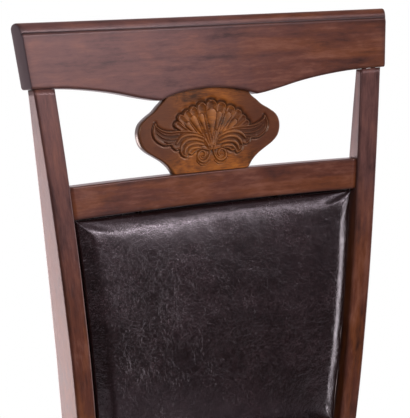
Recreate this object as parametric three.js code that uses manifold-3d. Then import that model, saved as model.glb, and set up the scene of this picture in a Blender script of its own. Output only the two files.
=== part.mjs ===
// Wooden dining chair with a carved medallion in its back.
// Millimetres, +Z up. The chair faces -Y, and +X is on the right of someone who looks at its front.

import * as THREE from "three";
import { mergeVertices } from "three/addons/utils/BufferGeometryUtils.js";
import Module from "manifold-3d";

const wasm = await Module();
wasm.setup();

const { degToRad, lerp } = THREE.MathUtils;

// Joints and cuts
const glueLine = 0.3;
const holeClearance = 0.25;
const cutOverrun = 10;

// Seat frame
const seatFrameHeight = 415;
const seatFrameDepth = 410;
const seatFrameFrontWidth = 450;
const seatRailHeight = 60;
const seatRailThickness = 22;
const seatRailInset = 3;
const sideRailArch = 10;
const frontRailArch = 16;
const rearSeatRailHeight = 42;
const rearSeatRailSetback = 16;
const seatTenonLength = 16;
const seatTenonThickness = 9;
const seatTenonHeight = 32;
const seatTenonTop = 6;
const seatTenonOffset = 4;

// Back frame
const backHeight = 525;
const crestBottomHeight = seatFrameHeight + backHeight;
const backPitch = degToRad(7.5);
const railBendRadius = 820;
const railThickness = 21;
const railEdgeRadius = 2;
const railReveal = 2.4;
const backTenonLength = 12;
const backTenonThickness = 9;
const backTenonShoulder = 5;

// Crest rail
const crestWidth = 450;
const crestFlare = 7;
const crestOverhang = 3.6;
const crestFaceHeight = 58.4;
const crestTopRise = 11;
const crestThickness = 17.6;
const crestTilt = degToRad(3.06);
const crestBendRadius = 900;
const crestArchDrop = 12.3;
const crestNotchDrop = 22.9;
const crestNotchHalf = 63;
const crestEdgeRadius = 2.5;
const crestEndRadius = 1.5;
const crestCornerRadius = 3;
const crestEndSlant = degToRad(17);

// Window between the crest and the upper back rail, and the medallion in it
const windowHeight = 107.8;
const medallionHalfWidth = 92.2;
const medallionThickness = 12;
const medallionTopRecess = 5;
const medallionFootRecess = 1;
const medallionEdgeRadius = 3;

// Carving: a shell of petals round a root, and the relief of all that is carved
const shellRootDrop = 85;
const shellRadius = 55;
const petalCount = 9;
const petalTurn = degToRad(13);
const petalWidth = 11;
const carvingRelief = 2.4;

// Back rails and pad
const upperRailHeight = 36.2;
const lowerRailHeight = 26;
const lowerRailRise = 67.4;
const lowerRailTop = backHeight / Math.cos(backPitch) - lowerRailRise - lowerRailHeight;
const padEndGap = 3;
const padSideGap = 4.6;
const padEdgeSetback = 3;
const padCrown = 11;
const padCornerReach = 1.2;
const padBoardSetback = 8;
const padBoardThickness = 9;
const padEdgeRadius = 12;
const coverThickness = 1.2;
const rearCoverThickness = 3;
const rearCoverGap = 0.8;

// Rear legs, which run up as the back's uprights
const rearLegWidthTop = 25.9;
const rearLegWidthSeat = 23;
const rearLegDepth = 40;
const rearLegSweep = 35.5;
const rearLegSetback = 3.8;
const rearLegHalfSpread = crestWidth / 2 - crestOverhang;
const rearLegToeIn = degToRad(9.4);
const rearLegEdgeRadius = 3;

// Front legs
const frontLegSize = 40;
const frontLegFoot = 27;
const frontLegEdgeRadius = 3;
const frontLegStraight = 72;

// Corner blocks, with their bolts just below the rear seat rail
const blockReach = 72;
const blockHeight = 28;
const boltHeight = 9;
const boltDrop = 6;
const blockDrop = rearSeatRailHeight + boltDrop + boltHeight;

// Seat
const seatBoardThickness = 12;
const seatOverhang = 2;
const seatEdgeHeight = 26;
const seatCrown = 12;
const seatEdgeRadius = 22;
const seatCornerRadius = 34;
const seatNotchGap = 2;
const seatFrontBow = 5;
const seatDrawIn = 2;
const dustCoverThickness = 0.8;
const dustCoverMargin = 1.5;

// Fasteners
const crestDowelRadius = 3;
const crestDowelLength = 40;
const crestDowelSpacing = 12;
const medallionDowelRadius = 3;
const medallionDowelLength = 22;
const medallionDowelHalfSpacing = 28;
const padPinRadius = 2;
const padPinLength = 24;
const padFixingHalfSpacing = 90;
const screwRadius = 2;
const screwHeadRadius = 4;
const screwHeadHeight = 2.4;
const padScrewLength = 36;
const padScrewSink = 6;
const blockScrewLength = 30;
const blockScrewReach = 52;
const blockScrewSink = 3;
const blockScrewHeight = 20;
const seatScrewLength = 58;
const seatScrewSink = 8;
const seatScrewAlong = 37;
const seatScrewAcross = 18;
const boltRadius = 3;
const boltHeadRadius = 6.5;
const boltHeadHeight = 4;
const frontBoltLength = 56;
const rearBoltLength = 66;
const glideRadius = 10;
const glideHeight = 4;
const glideStemRadius = 1.5;
const glideStemLength = 12;
const glideFlatShare = 0.8;

// How finely the curved pieces are divided
const legStations = 26;
const crestStations = 26;
const railStations = 16;
const cornerSteps = 2;
const roundSides = 10;
const lobeSides = 8;
const lobeRings = 4;
const headSides = 6;

// Rear leg: shares of the crest's height, the sweep, the depth and the half spread
const rearLegShares = [
  [0, -0.68, 0.66, 0.804],
  [0.16, 0.107, 0.775, 0.795],
  [0.319, 0.7, 0.9, 0.797],
  [0.457, 0.955, 1, 0.811],
  [0.511, 0.98, 0.958, 0.823],
  [0.553, 0.997, 0.94, 0.835],
  [0.59, 1, 0.935, 0.847],
  [0.628, 0.983, 0.925, 0.859],
  [0.681, 0.932, 0.895, 0.876],
  [0.734, 0.845, 0.85, 0.895],
  [0.787, 0.727, 0.79, 0.914],
  [0.84, 0.58, 0.712, 0.934],
  [0.894, 0.408, 0.62, 0.955],
  [0.947, 0.214, 0.51, 0.977],
  [1, 0, 0.367, 1],
  [1.02, -0.087, 0.333, 1.01],
];

// Crest's lower edge outside the notch: share of the way out, share of the notch's drop
const crestEdgeShares = [
  [0, 1], [0.055, 0.95], [0.17, 0.785], [0.34, 0.5], [0.5, 0.295], [0.68, 0.13], [0.82, 0.06], [1, 0.015],
];
const crestArchPower = 2.2;

// Medallion's side: share of the window's height from its top, share of the half width
const medallionShares = [
  [0.05, 0.5], [0.218, 0.618], [0.274, 0.694], [0.329, 0.765], [0.38, 0.862], [0.433, 0.944], [0.481, 0.982],
  [0.545, 1], [0.62, 0.991], [0.688, 0.954], [0.747, 0.879], [0.802, 0.775], [0.855, 0.678], [0.918, 0.597],
  [1, 0.53],
];

// Petal of the shell: shares of its radius where the petal's middle lies and half its length
const petalShares = [0.65, 0.35];

// Leaf scroll's lobes on the right: shares of the medallion's half width for their middle across,
// half length and half width, share of the window's height for their middle down, and turn
const lobeShares = [
  { across: 0.13, down: 0.83, long: 0.06, wide: 0.06, turn: degToRad(0) },
  { across: 0.43, down: 0.63, long: 0.27, wide: 0.09, turn: degToRad(11) },
  { across: 0.71, down: 0.53, long: 0.13, wide: 0.06, turn: degToRad(52) },
  { across: 0.66, down: 0.64, long: 0.08, wide: 0.055, turn: degToRad(25) },
  { across: 0.54, down: 0.69, long: 0.075, wide: 0.055, turn: degToRad(30) },
  { across: 0.42, down: 0.74, long: 0.07, wide: 0.05, turn: degToRad(45) },
];

// Crest's section: how far its rounded arcs have turned, its rear edge's share of the rise, and its
// rounded top as shares of depth and rise
const arcShares = [0, 0.5, 1];
const crestRearShare = 0.74;
const crestTopShares = [[0.78, 0.95], [0.58, 1], [0.36, 0.88], [0.19, 0.62], [0.11, 0.3]];
const crestLipShare = 0.4;
const crestEndShares = [0, 0.15, 0.5, 1];

// How the pads swell: how much of the crown fades towards the edges, and how late the corners reach out
const padFlatShare = 0.3;
const cornerPower = 6;

// Where the rows and columns of a padded or thin curved piece lie, from one edge to the other
const slabColumnShares = [-1, -0.97, -0.9, -0.7, -0.4, 0, 0.4, 0.7, 0.9, 0.97, 1];
const padRowShares = [0, 0.015, 0.05, 0.15, 0.32, 0.5, 0.68, 0.85, 0.95, 0.985, 1];
const seatRowShares = [0, 0.015, 0.05, 0.15, 0.35, 0.6, 0.8, 0.9, 0.95, 0.98, 1];

// Materials
const sides = ["left", "right"];
const finishes = {
  wood: { color: 0x56302a, roughness: 0.38, metalness: 0 },
  carvedWood: { color: 0x74421f, roughness: 0.36, metalness: 0 },
  rawWood: { color: 0xc9a777, roughness: 0.7, metalness: 0 },
  plywood: { color: 0xb08d5f, roughness: 0.75, metalness: 0 },
  leather: { color: 0x2a1c1d, roughness: 0.42, metalness: 0 },
  foam: { color: 0xe6dcc2, roughness: 0.95, metalness: 0 },
  cloth: { color: 0x17171a, roughness: 0.95, metalness: 0 },
  steel: { color: 0xa9acb0, roughness: 0.35, metalness: 0.9 },
  plastic: { color: 0x1b1b1c, roughness: 0.5, metalness: 0 },
};

/** A mesh with its own material. */
function piece(name, geometry, finish) {
  const mesh = new THREE.Mesh(geometry, new THREE.MeshStandardMaterial(finishes[finish]));
  mesh.name = name;
  return mesh;
}

/** A closed geometry from points and triangles, with its faces turned outwards. */
function closedGeometry(points, triangles) {
  let volume = 0;
  for (const [a, b, c] of triangles) {
    volume += points[a].dot(new THREE.Vector3().crossVectors(points[b], points[c]));
  }
  const geometry = new THREE.BufferGeometry();
  geometry.setAttribute("position", new THREE.Float32BufferAttribute(points.flatMap((p) => p.toArray()), 3));
  geometry.setIndex(triangles.flatMap(([a, b, c]) => (volume > 0 ? [a, b, c] : [a, c, b])));
  return geometry;
}

/** A body lofted through closed rings of equal count. Its first and last rings are filled. */
function loft(rings) {
  const count = rings[0].length;
  const points = rings.flat();
  const triangles = [];
  for (let r = 0; r + 1 < rings.length; r++) {
    for (let i = 0; i < count; i++) {
      const j = (i + 1) % count;
      const [a, b, c, d] = [r * count + i, r * count + j, (r + 1) * count + j, (r + 1) * count + i];
      triangles.push([a, b, c], [a, c, d]);
    }
  }
  const last = (rings.length - 1) * count;
  for (let i = 1; i + 1 < count; i++) {
    triangles.push([0, i + 1, i], [last, last + i, last + i + 1]);
  }
  return closedGeometry(points, triangles);
}

/** A slab between a front and a back surface, both given over the same columns and rows. */
function slab(columns, rows, front, back) {
  const points = [];
  for (const surface of [front, back]) {
    for (const v of rows) {
      for (const u of columns) {
        points.push(surface(u, v));
      }
    }
  }
  const wide = columns.length;
  const layer = wide * rows.length;
  const at = (side, r, c) => side * layer + r * wide + c;
  const triangles = [];
  for (let r = 0; r + 1 < rows.length; r++) {
    for (let c = 0; c + 1 < wide; c++) {
      const [a, b, d, e] = [at(0, r, c), at(0, r + 1, c), at(0, r + 1, c + 1), at(0, r, c + 1)];
      triangles.push([a, b, d], [a, d, e]);
      triangles.push([a + layer, d + layer, b + layer], [a + layer, e + layer, d + layer]);
    }
  }
  const edge = [];
  for (let c = 0; c + 1 < wide; c++) edge.push([0, c]);
  for (let r = 0; r + 1 < rows.length; r++) edge.push([r, wide - 1]);
  for (let c = wide - 1; c > 0; c--) edge.push([rows.length - 1, c]);
  for (let r = rows.length - 1; r > 0; r--) edge.push([r, 0]);
  edge.forEach(([r, c], i) => {
    const [r2, c2] = edge[(i + 1) % edge.length];
    triangles.push([at(0, r, c), at(0, r2, c2), at(1, r2, c2)], [at(0, r, c), at(1, r2, c2), at(1, r, c)]);
  });
  return closedGeometry(points, triangles);
}

/** A plate of an outline in X and Y, from one height to another. */
function plate(outline, bottom, top) {
  const options = { depth: top - bottom, bevelEnabled: false };
  return new THREE.ExtrudeGeometry(new THREE.Shape(outline), options).translate(0, 0, bottom);
}

/** The same geometry with its corners shared by all faces that meet there. */
function shared(geometry) {
  if (!geometry.hasAttribute("normal")) return geometry;
  const bare = geometry.clone();
  bare.deleteAttribute("normal");
  bare.deleteAttribute("uv");
  return mergeVertices(bare);
}

/** The solid that a geometry encloses. */
function solidOf(geometry) {
  const { attributes, index } = shared(geometry);
  return new wasm.Manifold(new wasm.Mesh({
    numProp: 3,
    vertProperties: Float32Array.from(attributes.position.array),
    triVerts: Uint32Array.from(index.array),
  }));
}

/** The geometry of a solid. */
function geometryOf(solid) {
  const { vertProperties, triVerts } = solid.getMesh();
  const geometry = new THREE.BufferGeometry();
  geometry.setAttribute("position", new THREE.Float32BufferAttribute(vertProperties, 3));
  geometry.setIndex(Array.from(triVerts));
  return geometry;
}

/** What is left of a body once other bodies are taken from it. */
function cut(body, ...tools) {
  return geometryOf(tools.reduce((solid, tool) => solid.subtract(solidOf(tool)), solidOf(body)));
}

/** One body made of several that run into each other. */
function join(body, ...others) {
  return geometryOf(others.reduce((solid, other) => solid.add(solidOf(other)), solidOf(body)));
}

const moved = (geometry, matrix) => geometry.clone().applyMatrix4(matrix);

/** A round bar along +Z from its foot. */
function bar(radius, length) {
  const geometry = new THREE.CylinderGeometry(radius, radius, length, roundSides);
  return geometry.rotateX(Math.PI / 2).translate(0, 0, length / 2);
}

const upright = new THREE.Vector3(0, 0, 1);

/** The placement whose +Z runs along a direction from a point. */
function placement(point, direction) {
  const turn = new THREE.Quaternion().setFromUnitVectors(upright, direction.clone().normalize());
  return new THREE.Matrix4().makeRotationFromQuaternion(turn).setPosition(point);
}

/** Puts a piece where a matrix says, by its position and rotation. */
function placed(mesh, matrix) {
  matrix.decompose(mesh.position, mesh.quaternion, mesh.scale);
  return mesh;
}

/** Outline of a rectangle with rounded corners, from its first corner: width along X and depth along Y. */
function roundedRing(width, depth, radius) {
  const ring = [];
  const corners = [[radius, radius, Math.PI], [width - radius, radius, 1.5 * Math.PI],
    [width - radius, depth - radius, 0], [radius, depth - radius, 0.5 * Math.PI]];
  for (const [x, y, start] of corners) {
    for (let i = 0; i <= cornerSteps; i++) {
      const angle = start + (0.5 * Math.PI * i) / cornerSteps;
      ring.push([x + radius * Math.cos(angle), y + radius * Math.sin(angle)]);
    }
  }
  return ring;
}

/** How far a rounded edge has fallen at a distance in from it. */
function roundOff(distance, radius) {
  const short = Math.max(0, radius - distance);
  return radius - Math.sqrt(Math.max(0, radius * radius - short * short));
}

/** Smooth value of one column of a table of shares at a given first column. */
function tableValue(table, share, column) {
  let i = 0;
  while (i + 2 < table.length && table[i + 1][0] < share) i++;
  const slope = (k) => {
    const [a, b] = [table[Math.max(k - 1, 0)], table[Math.min(k + 1, table.length - 1)]];
    return (b[column] - a[column]) / (b[0] - a[0]);
  };
  const [from, to] = [table[i], table[i + 1]];
  const span = to[0] - from[0];
  const t = THREE.MathUtils.clamp((share - from[0]) / span, 0, 1);
  const [t2, t3] = [t * t, t * t * t];
  return from[column] * (2 * t3 - 3 * t2 + 1) + to[column] * (3 * t2 - 2 * t3)
    + span * (slope(i) * (t3 - 2 * t2 + t) + slope(i + 1) * (t3 - t2));
}

// The back's own frame: its origin is the crest's lower front edge, level with its ends
const back = new THREE.Group();
back.position.set(0, 0, crestBottomHeight);
back.rotation.x = -backPitch;
back.updateMatrix();
const fromBack = back.matrix.clone();
const toBack = fromBack.clone().invert();

/** Rear leg's section at a height: its front outer corner, width and depth, on the right. */
function rearLegSection(height) {
  const share = height / crestBottomHeight;
  const widthShare = THREE.MathUtils.clamp(share, 0.5, 1) * 2 - 1;
  return {
    x: rearLegHalfSpread * tableValue(rearLegShares, share, 3),
    y: rearLegSetback - rearLegSweep * tableValue(rearLegShares, share, 1),
    width: lerp(rearLegWidthSeat, rearLegWidthTop, widthShare),
    depth: rearLegDepth * tableValue(rearLegShares, share, 2),
  };
}

/** A place in the rear leg at a height: across from its outer face, and back from its front face. */
function rearLegPoint(side, height, across, depth) {
  const { x, y } = rearLegSection(height);
  return new THREE.Vector3(
    side * (x - across * Math.cos(rearLegToeIn) + depth * Math.sin(rearLegToeIn)),
    y + across * Math.sin(rearLegToeIn) + depth * Math.cos(rearLegToeIn),
    height,
  );
}

/** Rear leg's blank, grown across and in depth, for the leg itself or to cut what meets it. */
function rearLegBlank(side, bottom, top, growAcross = 0, growDepth = 0) {
  const rings = [];
  const stations = Math.ceil((legStations * (top - bottom)) / crestBottomHeight);
  for (let i = 0; i <= stations; i++) {
    const height = lerp(bottom, top, i / stations);
    const { width, depth } = rearLegSection(height);
    const ring = roundedRing(width + 2 * growAcross, depth + 2 * growDepth, rearLegEdgeRadius);
    rings.push(ring.map(([u, v]) => rearLegPoint(side, height, u - growAcross, v - growDepth)));
  }
  return loft(rings);
}

// Inner front edge of the right rear leg, seen in the back's frame
const innerEdge = [];
for (let i = 0; i <= legStations; i++) {
  const height = lerp(crestBottomHeight, seatFrameHeight, i / legStations);
  innerEdge.push(rearLegPoint(1, height, rearLegSection(height).width, 0).applyMatrix4(toBack));
}

/** Inner front edge of the legs at a height in the back's frame. */
function innerEdgeAt(z) {
  let i = 0;
  while (i + 2 < innerEdge.length && innerEdge[i + 1].z > z) i++;
  const [a, b] = [innerEdge[i], innerEdge[i + 1]];
  return a.clone().lerp(b, (z - a.z) / (b.z - a.z));
}

/** Front of the back's rails and pad, before any setback: it curves away from the legs' inner edges. */
function backFront(x, z) {
  const edge = innerEdgeAt(z);
  return edge.y + railReveal + (edge.x * edge.x - x * x) / (2 * railBendRadius);
}

/** Crest's lower edge: how far it hangs below its ends. */
function crestDrop(x) {
  const out = Math.abs(x);
  if (out < crestNotchHalf) {
    return crestArchDrop + (crestNotchDrop - crestArchDrop) * (out / crestNotchHalf) ** crestArchPower;
  }
  const share = (out - crestNotchHalf) / (crestWidth / 2 - crestNotchHalf);
  return crestNotchDrop * tableValue(crestEdgeShares, share, 1);
}

/** A place in the crest: along it, up its face and back from its face. */
function crestPoint(x, up, depth) {
  const rise = up * Math.cos(crestTilt);
  const flare = ((2 * crestFlare) / crestWidth) * (rise / (crestFaceHeight + crestTopRise));
  const sag = ((crestWidth / 2) ** 2 - x * x) / (2 * crestBendRadius);
  const slant = depth * Math.tan(crestEndSlant) * ((2 * x) / crestWidth) ** 3;
  return new THREE.Vector3(
    x * (1 + flare) + slant,
    up * Math.sin(crestTilt) + depth * Math.cos(crestTilt) + sag,
    rise - depth * Math.sin(crestTilt),
  );
}

/** Crest's section at a place along it, drawn in near the ends, as pairs of depth and height. */
function crestSection(x, grow) {
  const fromEnd = crestWidth / 2 - Math.abs(x);
  const inset = roundOff(fromEnd, crestEndRadius) - grow;
  const low = -crestDrop(x) + inset;
  const high = crestFaceHeight - roundOff(fromEnd, crestCornerRadius) - inset;
  const [near, far] = [inset, crestThickness - inset];
  const r = crestEdgeRadius;
  const arc = (depth, up, start) => arcShares.map((share) => {
    const angle = start + (share * Math.PI) / 2;
    return [depth + r * Math.cos(angle), up + r * Math.sin(angle)];
  });
  return [
    ...arc(near + r, low + r, Math.PI), ...arc(far - r, low + r, 1.5 * Math.PI),
    ...arc(far - r, high + crestRearShare * crestTopRise - r, 0),
    ...crestTopShares.map(([inward, rise]) => [lerp(near, far, inward), high + rise * crestTopRise]),
    [near + crestLipShare * r, high], [near, high - r],
  ];
}

/** Crest's blank, or the same grown a little to cut what meets it. */
function crestBlank(grow = 0) {
  const half = crestWidth / 2;
  const stations = crestEndShares.map((share) => half - share * crestEndRadius);
  stations.push(half - (crestEndRadius + crestCornerRadius) / 2, half - crestCornerRadius);
  for (let i = 1; i < crestStations / 2; i++) {
    stations.push(lerp(half - crestCornerRadius, 0, (2 * i) / crestStations));
  }
  stations.push(crestNotchHalf, 0);
  const all = [...new Set([...stations, ...stations.map((x) => -x)])].sort((a, b) => a - b);
  return loft(all.map((x) => crestSection(x, grow).map(([depth, up]) => crestPoint(x, up, depth))));
}

/** All that lies above the crest's underside, past its ends and faces, to cut the legs' tops. */
function crestSide(grow) {
  const half = crestWidth / 2;
  const rings = [];
  for (let i = 0; i <= crestStations; i++) {
    const x = lerp(-half, half, i / crestStations);
    const low = -crestDrop(x) - grow;
    const [near, far] = [-cutOverrun, crestThickness + cutOverrun];
    const outline = [[near, low], [far, low], [far, 2 * cutOverrun], [near, 2 * cutOverrun]];
    const past = (x / half) * cutOverrun;
    rings.push(outline.map(([depth, rise]) => crestPoint(x, rise, depth).add(new THREE.Vector3(past, 0, 0))));
  }
  return loft(rings);
}

/** A bent rail's blank in the back's frame, thinned and shortened by its insets for a tenon. */
function bentRail(top, height, half, inset = 0, thin = 0) {
  const [high, low] = [-top - inset, -top - height + inset];
  const ring = roundedRing(railThickness - 2 * thin, high - low, inset ? glueLine : railEdgeRadius);
  const [frontHigh, frontLow] = [backFront(0, -top), backFront(0, -top - height)];
  const rings = [];
  for (let i = 0; i <= railStations; i++) {
    const x = lerp(-half, half, i / railStations);
    rings.push(ring.map(([depth, up]) => {
      const z = low + up;
      const front = lerp(frontLow, frontHigh, (z + top + height) / height);
      return new THREE.Vector3(x, front - (x * x) / (2 * railBendRadius) + depth + thin, z);
    }));
  }
  return loft(rings);
}

/** Where a back rail's level lies above the floor. */
const levelOf = (z) => new THREE.Vector3(0, backFront(0, z), z).applyMatrix4(fromBack).z;

/** A back rail with its two tenons, and the same tenons grown for their mortises. */
function backRail(top, height) {
  const middle = innerEdgeAt(-top - height / 2);
  const reach = middle.x + backTenonLength;
  const [low, high] = [levelOf(-top - height) - cutOverrun, levelOf(-top) + cutOverrun];
  const legs = [-1, 1].map((side) => moved(rearLegBlank(side, low, high, glueLine, cutOverrun), toBack));
  const thin = (railThickness - backTenonThickness) / 2;
  const body = cut(bentRail(top, height, reach), ...legs);
  const tenons = bentRail(top, height, reach, backTenonShoulder, thin);
  const mortises = bentRail(top, height, reach + glueLine, backTenonShoulder - glueLine, thin - glueLine);
  return { rail: join(body, tenons), mortises: moved(mortises, fromBack) };
}

/** Front of the medallion at a place across it and at a share of the window's height. */
function medallionFront(x, share) {
  const topFront = crestPoint(0, 0, medallionTopRecess).y;
  const footFront = backFront(0, -windowHeight) + medallionFootRecess;
  return lerp(topFront, footFront, share) - (x * x) / (2 * crestBendRadius);
}

/** A carved lobe: half an ellipsoid that stands out of the medallion's bowed front. */
function carvedLobe(x, z, long, wide, turn) {
  const lobe = new THREE.SphereGeometry(1, lobeSides, lobeRings).scale(long, carvingRelief, wide);
  lobe.rotateY(-turn).translate(x, 0, z);
  const points = lobe.attributes.position;
  for (let i = 0; i < points.count; i++) {
    const front = medallionFront(points.getX(i), -points.getZ(i) / windowHeight);
    points.setY(i, points.getY(i) + front);
  }
  return lobe;
}

/** The carving's lobes: a fan of petals, and a leaf scroll at each side of it. */
function carvedLobes() {
  const lobes = [];
  const [middleShare, halfShare] = petalShares;
  for (let i = 0; i < petalCount; i++) {
    const angle = (i - (petalCount - 1) / 2) * petalTurn;
    const reach = middleShare * shellRadius;
    const [x, z] = [reach * Math.sin(angle), reach * Math.cos(angle) - shellRootDrop];
    lobes.push(carvedLobe(x, z, halfShare * shellRadius, petalWidth / 2, Math.PI / 2 - angle));
  }
  for (const side of [-1, 1]) {
    for (const { across, down, long, wide, turn } of lobeShares) {
      const [x, z] = [side * across * medallionHalfWidth, -down * windowHeight];
      lobes.push(carvedLobe(x, z, long * medallionHalfWidth, wide * medallionHalfWidth, side * turn));
    }
  }
  return lobes;
}

/** Medallion's plate: the crest and the upper rail close it above and below. */
function medallionBlank() {
  const rows = [];
  medallionShares.forEach(([share], i) => {
    rows.push(share);
    if (i + 1 < medallionShares.length) rows.push((share + medallionShares[i + 1][0]) / 2);
  });
  const place = (share, u, depth) => {
    const half = medallionHalfWidth * tableValue(medallionShares, share, 1);
    const soft = roundOff(half * (1 - Math.abs(u)), medallionEdgeRadius);
    const front = medallionFront(half * u, share);
    return new THREE.Vector3(half * u, front + (depth ? depth : soft), (glueLine - windowHeight) * share);
  };
  return slab(slabColumnShares, rows, (u, v) => place(v, u, 0), (u, v) => place(v, u, medallionThickness));
}

/** Extent of the back pad in the back's frame, drawn in by a margin. */
function padPlace(u, v, margin) {
  const top = -windowHeight - upperRailHeight - padEndGap - margin;
  const foot = -lowerRailTop + padEndGap + margin;
  const across = 2 * v - 1;
  const z = lerp(top, foot, v) - padCornerReach * across * (u ** cornerPower);
  const half = innerEdgeAt(z).x - padSideGap - margin + padCornerReach * (across ** cornerPower);
  return { x: u * half, z, fromSide: half * (1 - Math.abs(u)), fromEnd: Math.min(v, 1 - v) * (top - foot) };
}

/** The back's crowned pad, drawn in by a margin, down to a depth behind the rails' front. */
function backPad(margin, depth) {
  const front = (u, v) => {
    const { x, z, fromSide, fromEnd } = padPlace(u, v, margin);
    const crown = padCrown * (1 - padFlatShare * u ** 4) * (1 - padFlatShare * (2 * v - 1) ** 6);
    const fall = Math.max(roundOff(fromSide, padEdgeRadius), roundOff(fromEnd, padEdgeRadius));
    const swell = crown * (1 - fall / padEdgeRadius);
    return new THREE.Vector3(x, backFront(x, z) + padEdgeSetback + margin - swell, z);
  };
  const rear = (u, v) => {
    const { x, z } = padPlace(u, v, margin);
    return new THREE.Vector3(x, backFront(x, z) + depth, z);
  };
  return slab(slabColumnShares, padRowShares, front, rear);
}

/** Extent of the rear cover, which almost fills the opening at a depth behind the rails' front. */
function rearCoverPlace(u, v, depth) {
  const top = -windowHeight - upperRailHeight - rearCoverGap;
  const foot = -lowerRailTop + rearCoverGap;
  const z = lerp(top, foot, v);
  const widening = (railReveal + depth) * Math.tan(rearLegToeIn);
  return { x: u * (innerEdgeAt(z).x + widening - rearCoverGap), z };
}

/** An even bent board behind the pad, between two depths behind the rails' front. */
function backBoard(place, nearDepth, farDepth) {
  const surface = (depth) => (u, v) => {
    const { x, z } = place(u, v);
    return new THREE.Vector3(x, backFront(x, z) + depth, z);
  };
  return slab(slabColumnShares, padRowShares, surface(nearDepth), surface(farDepth));
}

// Seat frame seen from above: the rear leg's front outer corner, and the faces that follow from it
const rearCorner = rearLegPoint(1, seatFrameHeight - seatRailHeight / 2, 0, 0);
const frontFace = rearCorner.y - seatFrameDepth;
const frontHalf = seatFrameFrontWidth / 2;
const rearRailFront = rearCorner.y + rearSeatRailSetback;
const rearRailBack = rearRailFront + seatRailThickness;
const frontRailFront = frontFace + seatRailInset;
const frontRailBack = frontRailFront + seatRailThickness;
const sideRailRear = new THREE.Vector3(rearCorner.x - seatRailInset, rearCorner.y, 0);
const sideRailFront = new THREE.Vector3(frontHalf - seatRailInset, frontFace + frontLegSize, 0);
const sideRailRun = sideRailFront.clone().sub(sideRailRear);
const sideRailLength = sideRailRun.length();
const sideRailAngle = Math.atan2(sideRailRun.x, -sideRailRun.y);
const blockBottom = seatFrameHeight - blockDrop;

/** Half the seat frame's width at a place from front to back, in from the side rails' outer faces. */
function frameHalfAt(y, inward) {
  return sideRailRear.x + (sideRailRear.y - y) * Math.tan(sideRailAngle) - inward / Math.cos(sideRailAngle);
}

/** A seat rail's blank along +X with an arched lower edge: its outer face is at Y = 0 and faces -Y. */
function seatRailBlank(length, height, arch, grow = 0) {
  const [low, high] = [seatFrameHeight - height - grow, seatFrameHeight + grow];
  const outline = new THREE.Shape();
  outline.moveTo(-cutOverrun, high);
  outline.lineTo(-cutOverrun, low);
  outline.lineTo(0, low);
  outline.quadraticCurveTo(length / 2, low + 2 * arch, length, low);
  outline.lineTo(length + cutOverrun, low);
  outline.lineTo(length + cutOverrun, high);
  const blank = new THREE.ExtrudeGeometry(outline, {
    depth: seatRailThickness + 2 * grow, bevelEnabled: false, curveSegments: railStations,
  });
  return blank.rotateX(Math.PI / 2).translate(0, seatRailThickness + grow, 0);
}

/** A seat rail's tenons along +X, at both of its ends, grown for their mortises. */
function seatTenons(length, reach, grow = 0) {
  const place = [length / 2, seatTenonOffset + seatTenonThickness / 2,
    seatFrameHeight - seatTenonTop - seatTenonHeight / 2];
  const size = [length + 2 * (reach + grow), seatTenonThickness + 2 * grow, seatTenonHeight + 2 * grow];
  return new THREE.BoxGeometry(...size).translate(...place);
}

/** The placement of a side rail along +X with its outer face at Y = 0: the right one starts at the front. */
function sideRailPlacement(side) {
  const start = side < 0 ? sideRailRear : sideRailFront;
  const matrix = new THREE.Matrix4().makeRotationZ(side * (Math.PI / 2 + sideRailAngle));
  return matrix.setPosition(side * start.x, start.y, 0);
}

/** The placement of a cross rail of a length: centred, with its outer or front face at a place. */
const crossRailPlacement = (length, y) => new THREE.Matrix4().makeTranslation(-length / 2, y, 0);

/** A front leg's blank: straight at the rails, then tapered on its inner faces. */
function frontLegBlank(side, grow = 0) {
  const rings = [[glideHeight, frontLegFoot], [seatFrameHeight - frontLegStraight, frontLegSize],
    [seatFrameHeight, frontLegSize]];
  return loft(rings.map(([height, size]) => roundedRing(size + 2 * grow, size + 2 * grow, frontLegEdgeRadius)
    .map(([x, y]) => new THREE.Vector3(side * (frontHalf - x + grow), frontFace + y - grow, height))));
}

const rearRailMiddle = seatFrameHeight - rearSeatRailHeight / 2;
const rearLegSpan = 2 * rearLegPoint(1, rearRailMiddle, rearLegWidthSeat, rearSeatRailSetback).x;
const frontLegSpan = seatFrameFrontWidth - 2 * frontLegSize;
const seatRails = {
  rear_seat_rail: {
    length: rearLegSpan, height: rearSeatRailHeight, arch: 0, tenon: backTenonLength,
    matrix: crossRailPlacement(rearLegSpan, rearRailFront),
  },
  front_seat_rail: {
    length: frontLegSpan, height: seatRailHeight, arch: frontRailArch, tenon: seatTenonLength,
    matrix: crossRailPlacement(frontLegSpan, frontRailFront),
  },
  side_seat_rail_left: {
    length: sideRailLength, height: seatRailHeight, arch: sideRailArch, tenon: seatTenonLength,
    matrix: sideRailPlacement(-1),
  },
  side_seat_rail_right: {
    length: sideRailLength, height: seatRailHeight, arch: sideRailArch, tenon: seatTenonLength,
    matrix: sideRailPlacement(1),
  },
};

/** The four corners of the seat frame, with the directions along their rails and what is fixed there. */
function frameCorners() {
  const corners = [];
  for (const side of [-1, 1]) {
    for (const end of ["rear", "front"]) {
      const front = end === "front";
      const y = front ? frontRailBack : rearRailFront;
      const corner = new THREE.Vector3(side * frameHalfAt(y, seatRailThickness), y, blockBottom);
      const along = new THREE.Vector3(side * Math.sin(sideRailAngle), -Math.cos(sideRailAngle), 0);
      corners.push({
        name: `${end}_${side < 0 ? "left" : "right"}`,
        side, front, corner,
        cross: new THREE.Vector3(-side, 0, 0),
        along: front ? along.negate() : along,
      });
    }
  }
  return corners;
}
const corners = frameCorners();

/** A place by a frame corner: along its cross rail, along its side rail and up from its block's bottom. */
const cornerPoint = ({ corner, cross, along }, a, b, up) => corner.clone()
  .addScaledVector(cross, a).addScaledVector(along, b).add(new THREE.Vector3(0, 0, up));

/** How long a corner's bolt is. */
const boltLengthOf = ({ front }) => (front ? frontBoltLength : rearBoltLength);

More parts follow.
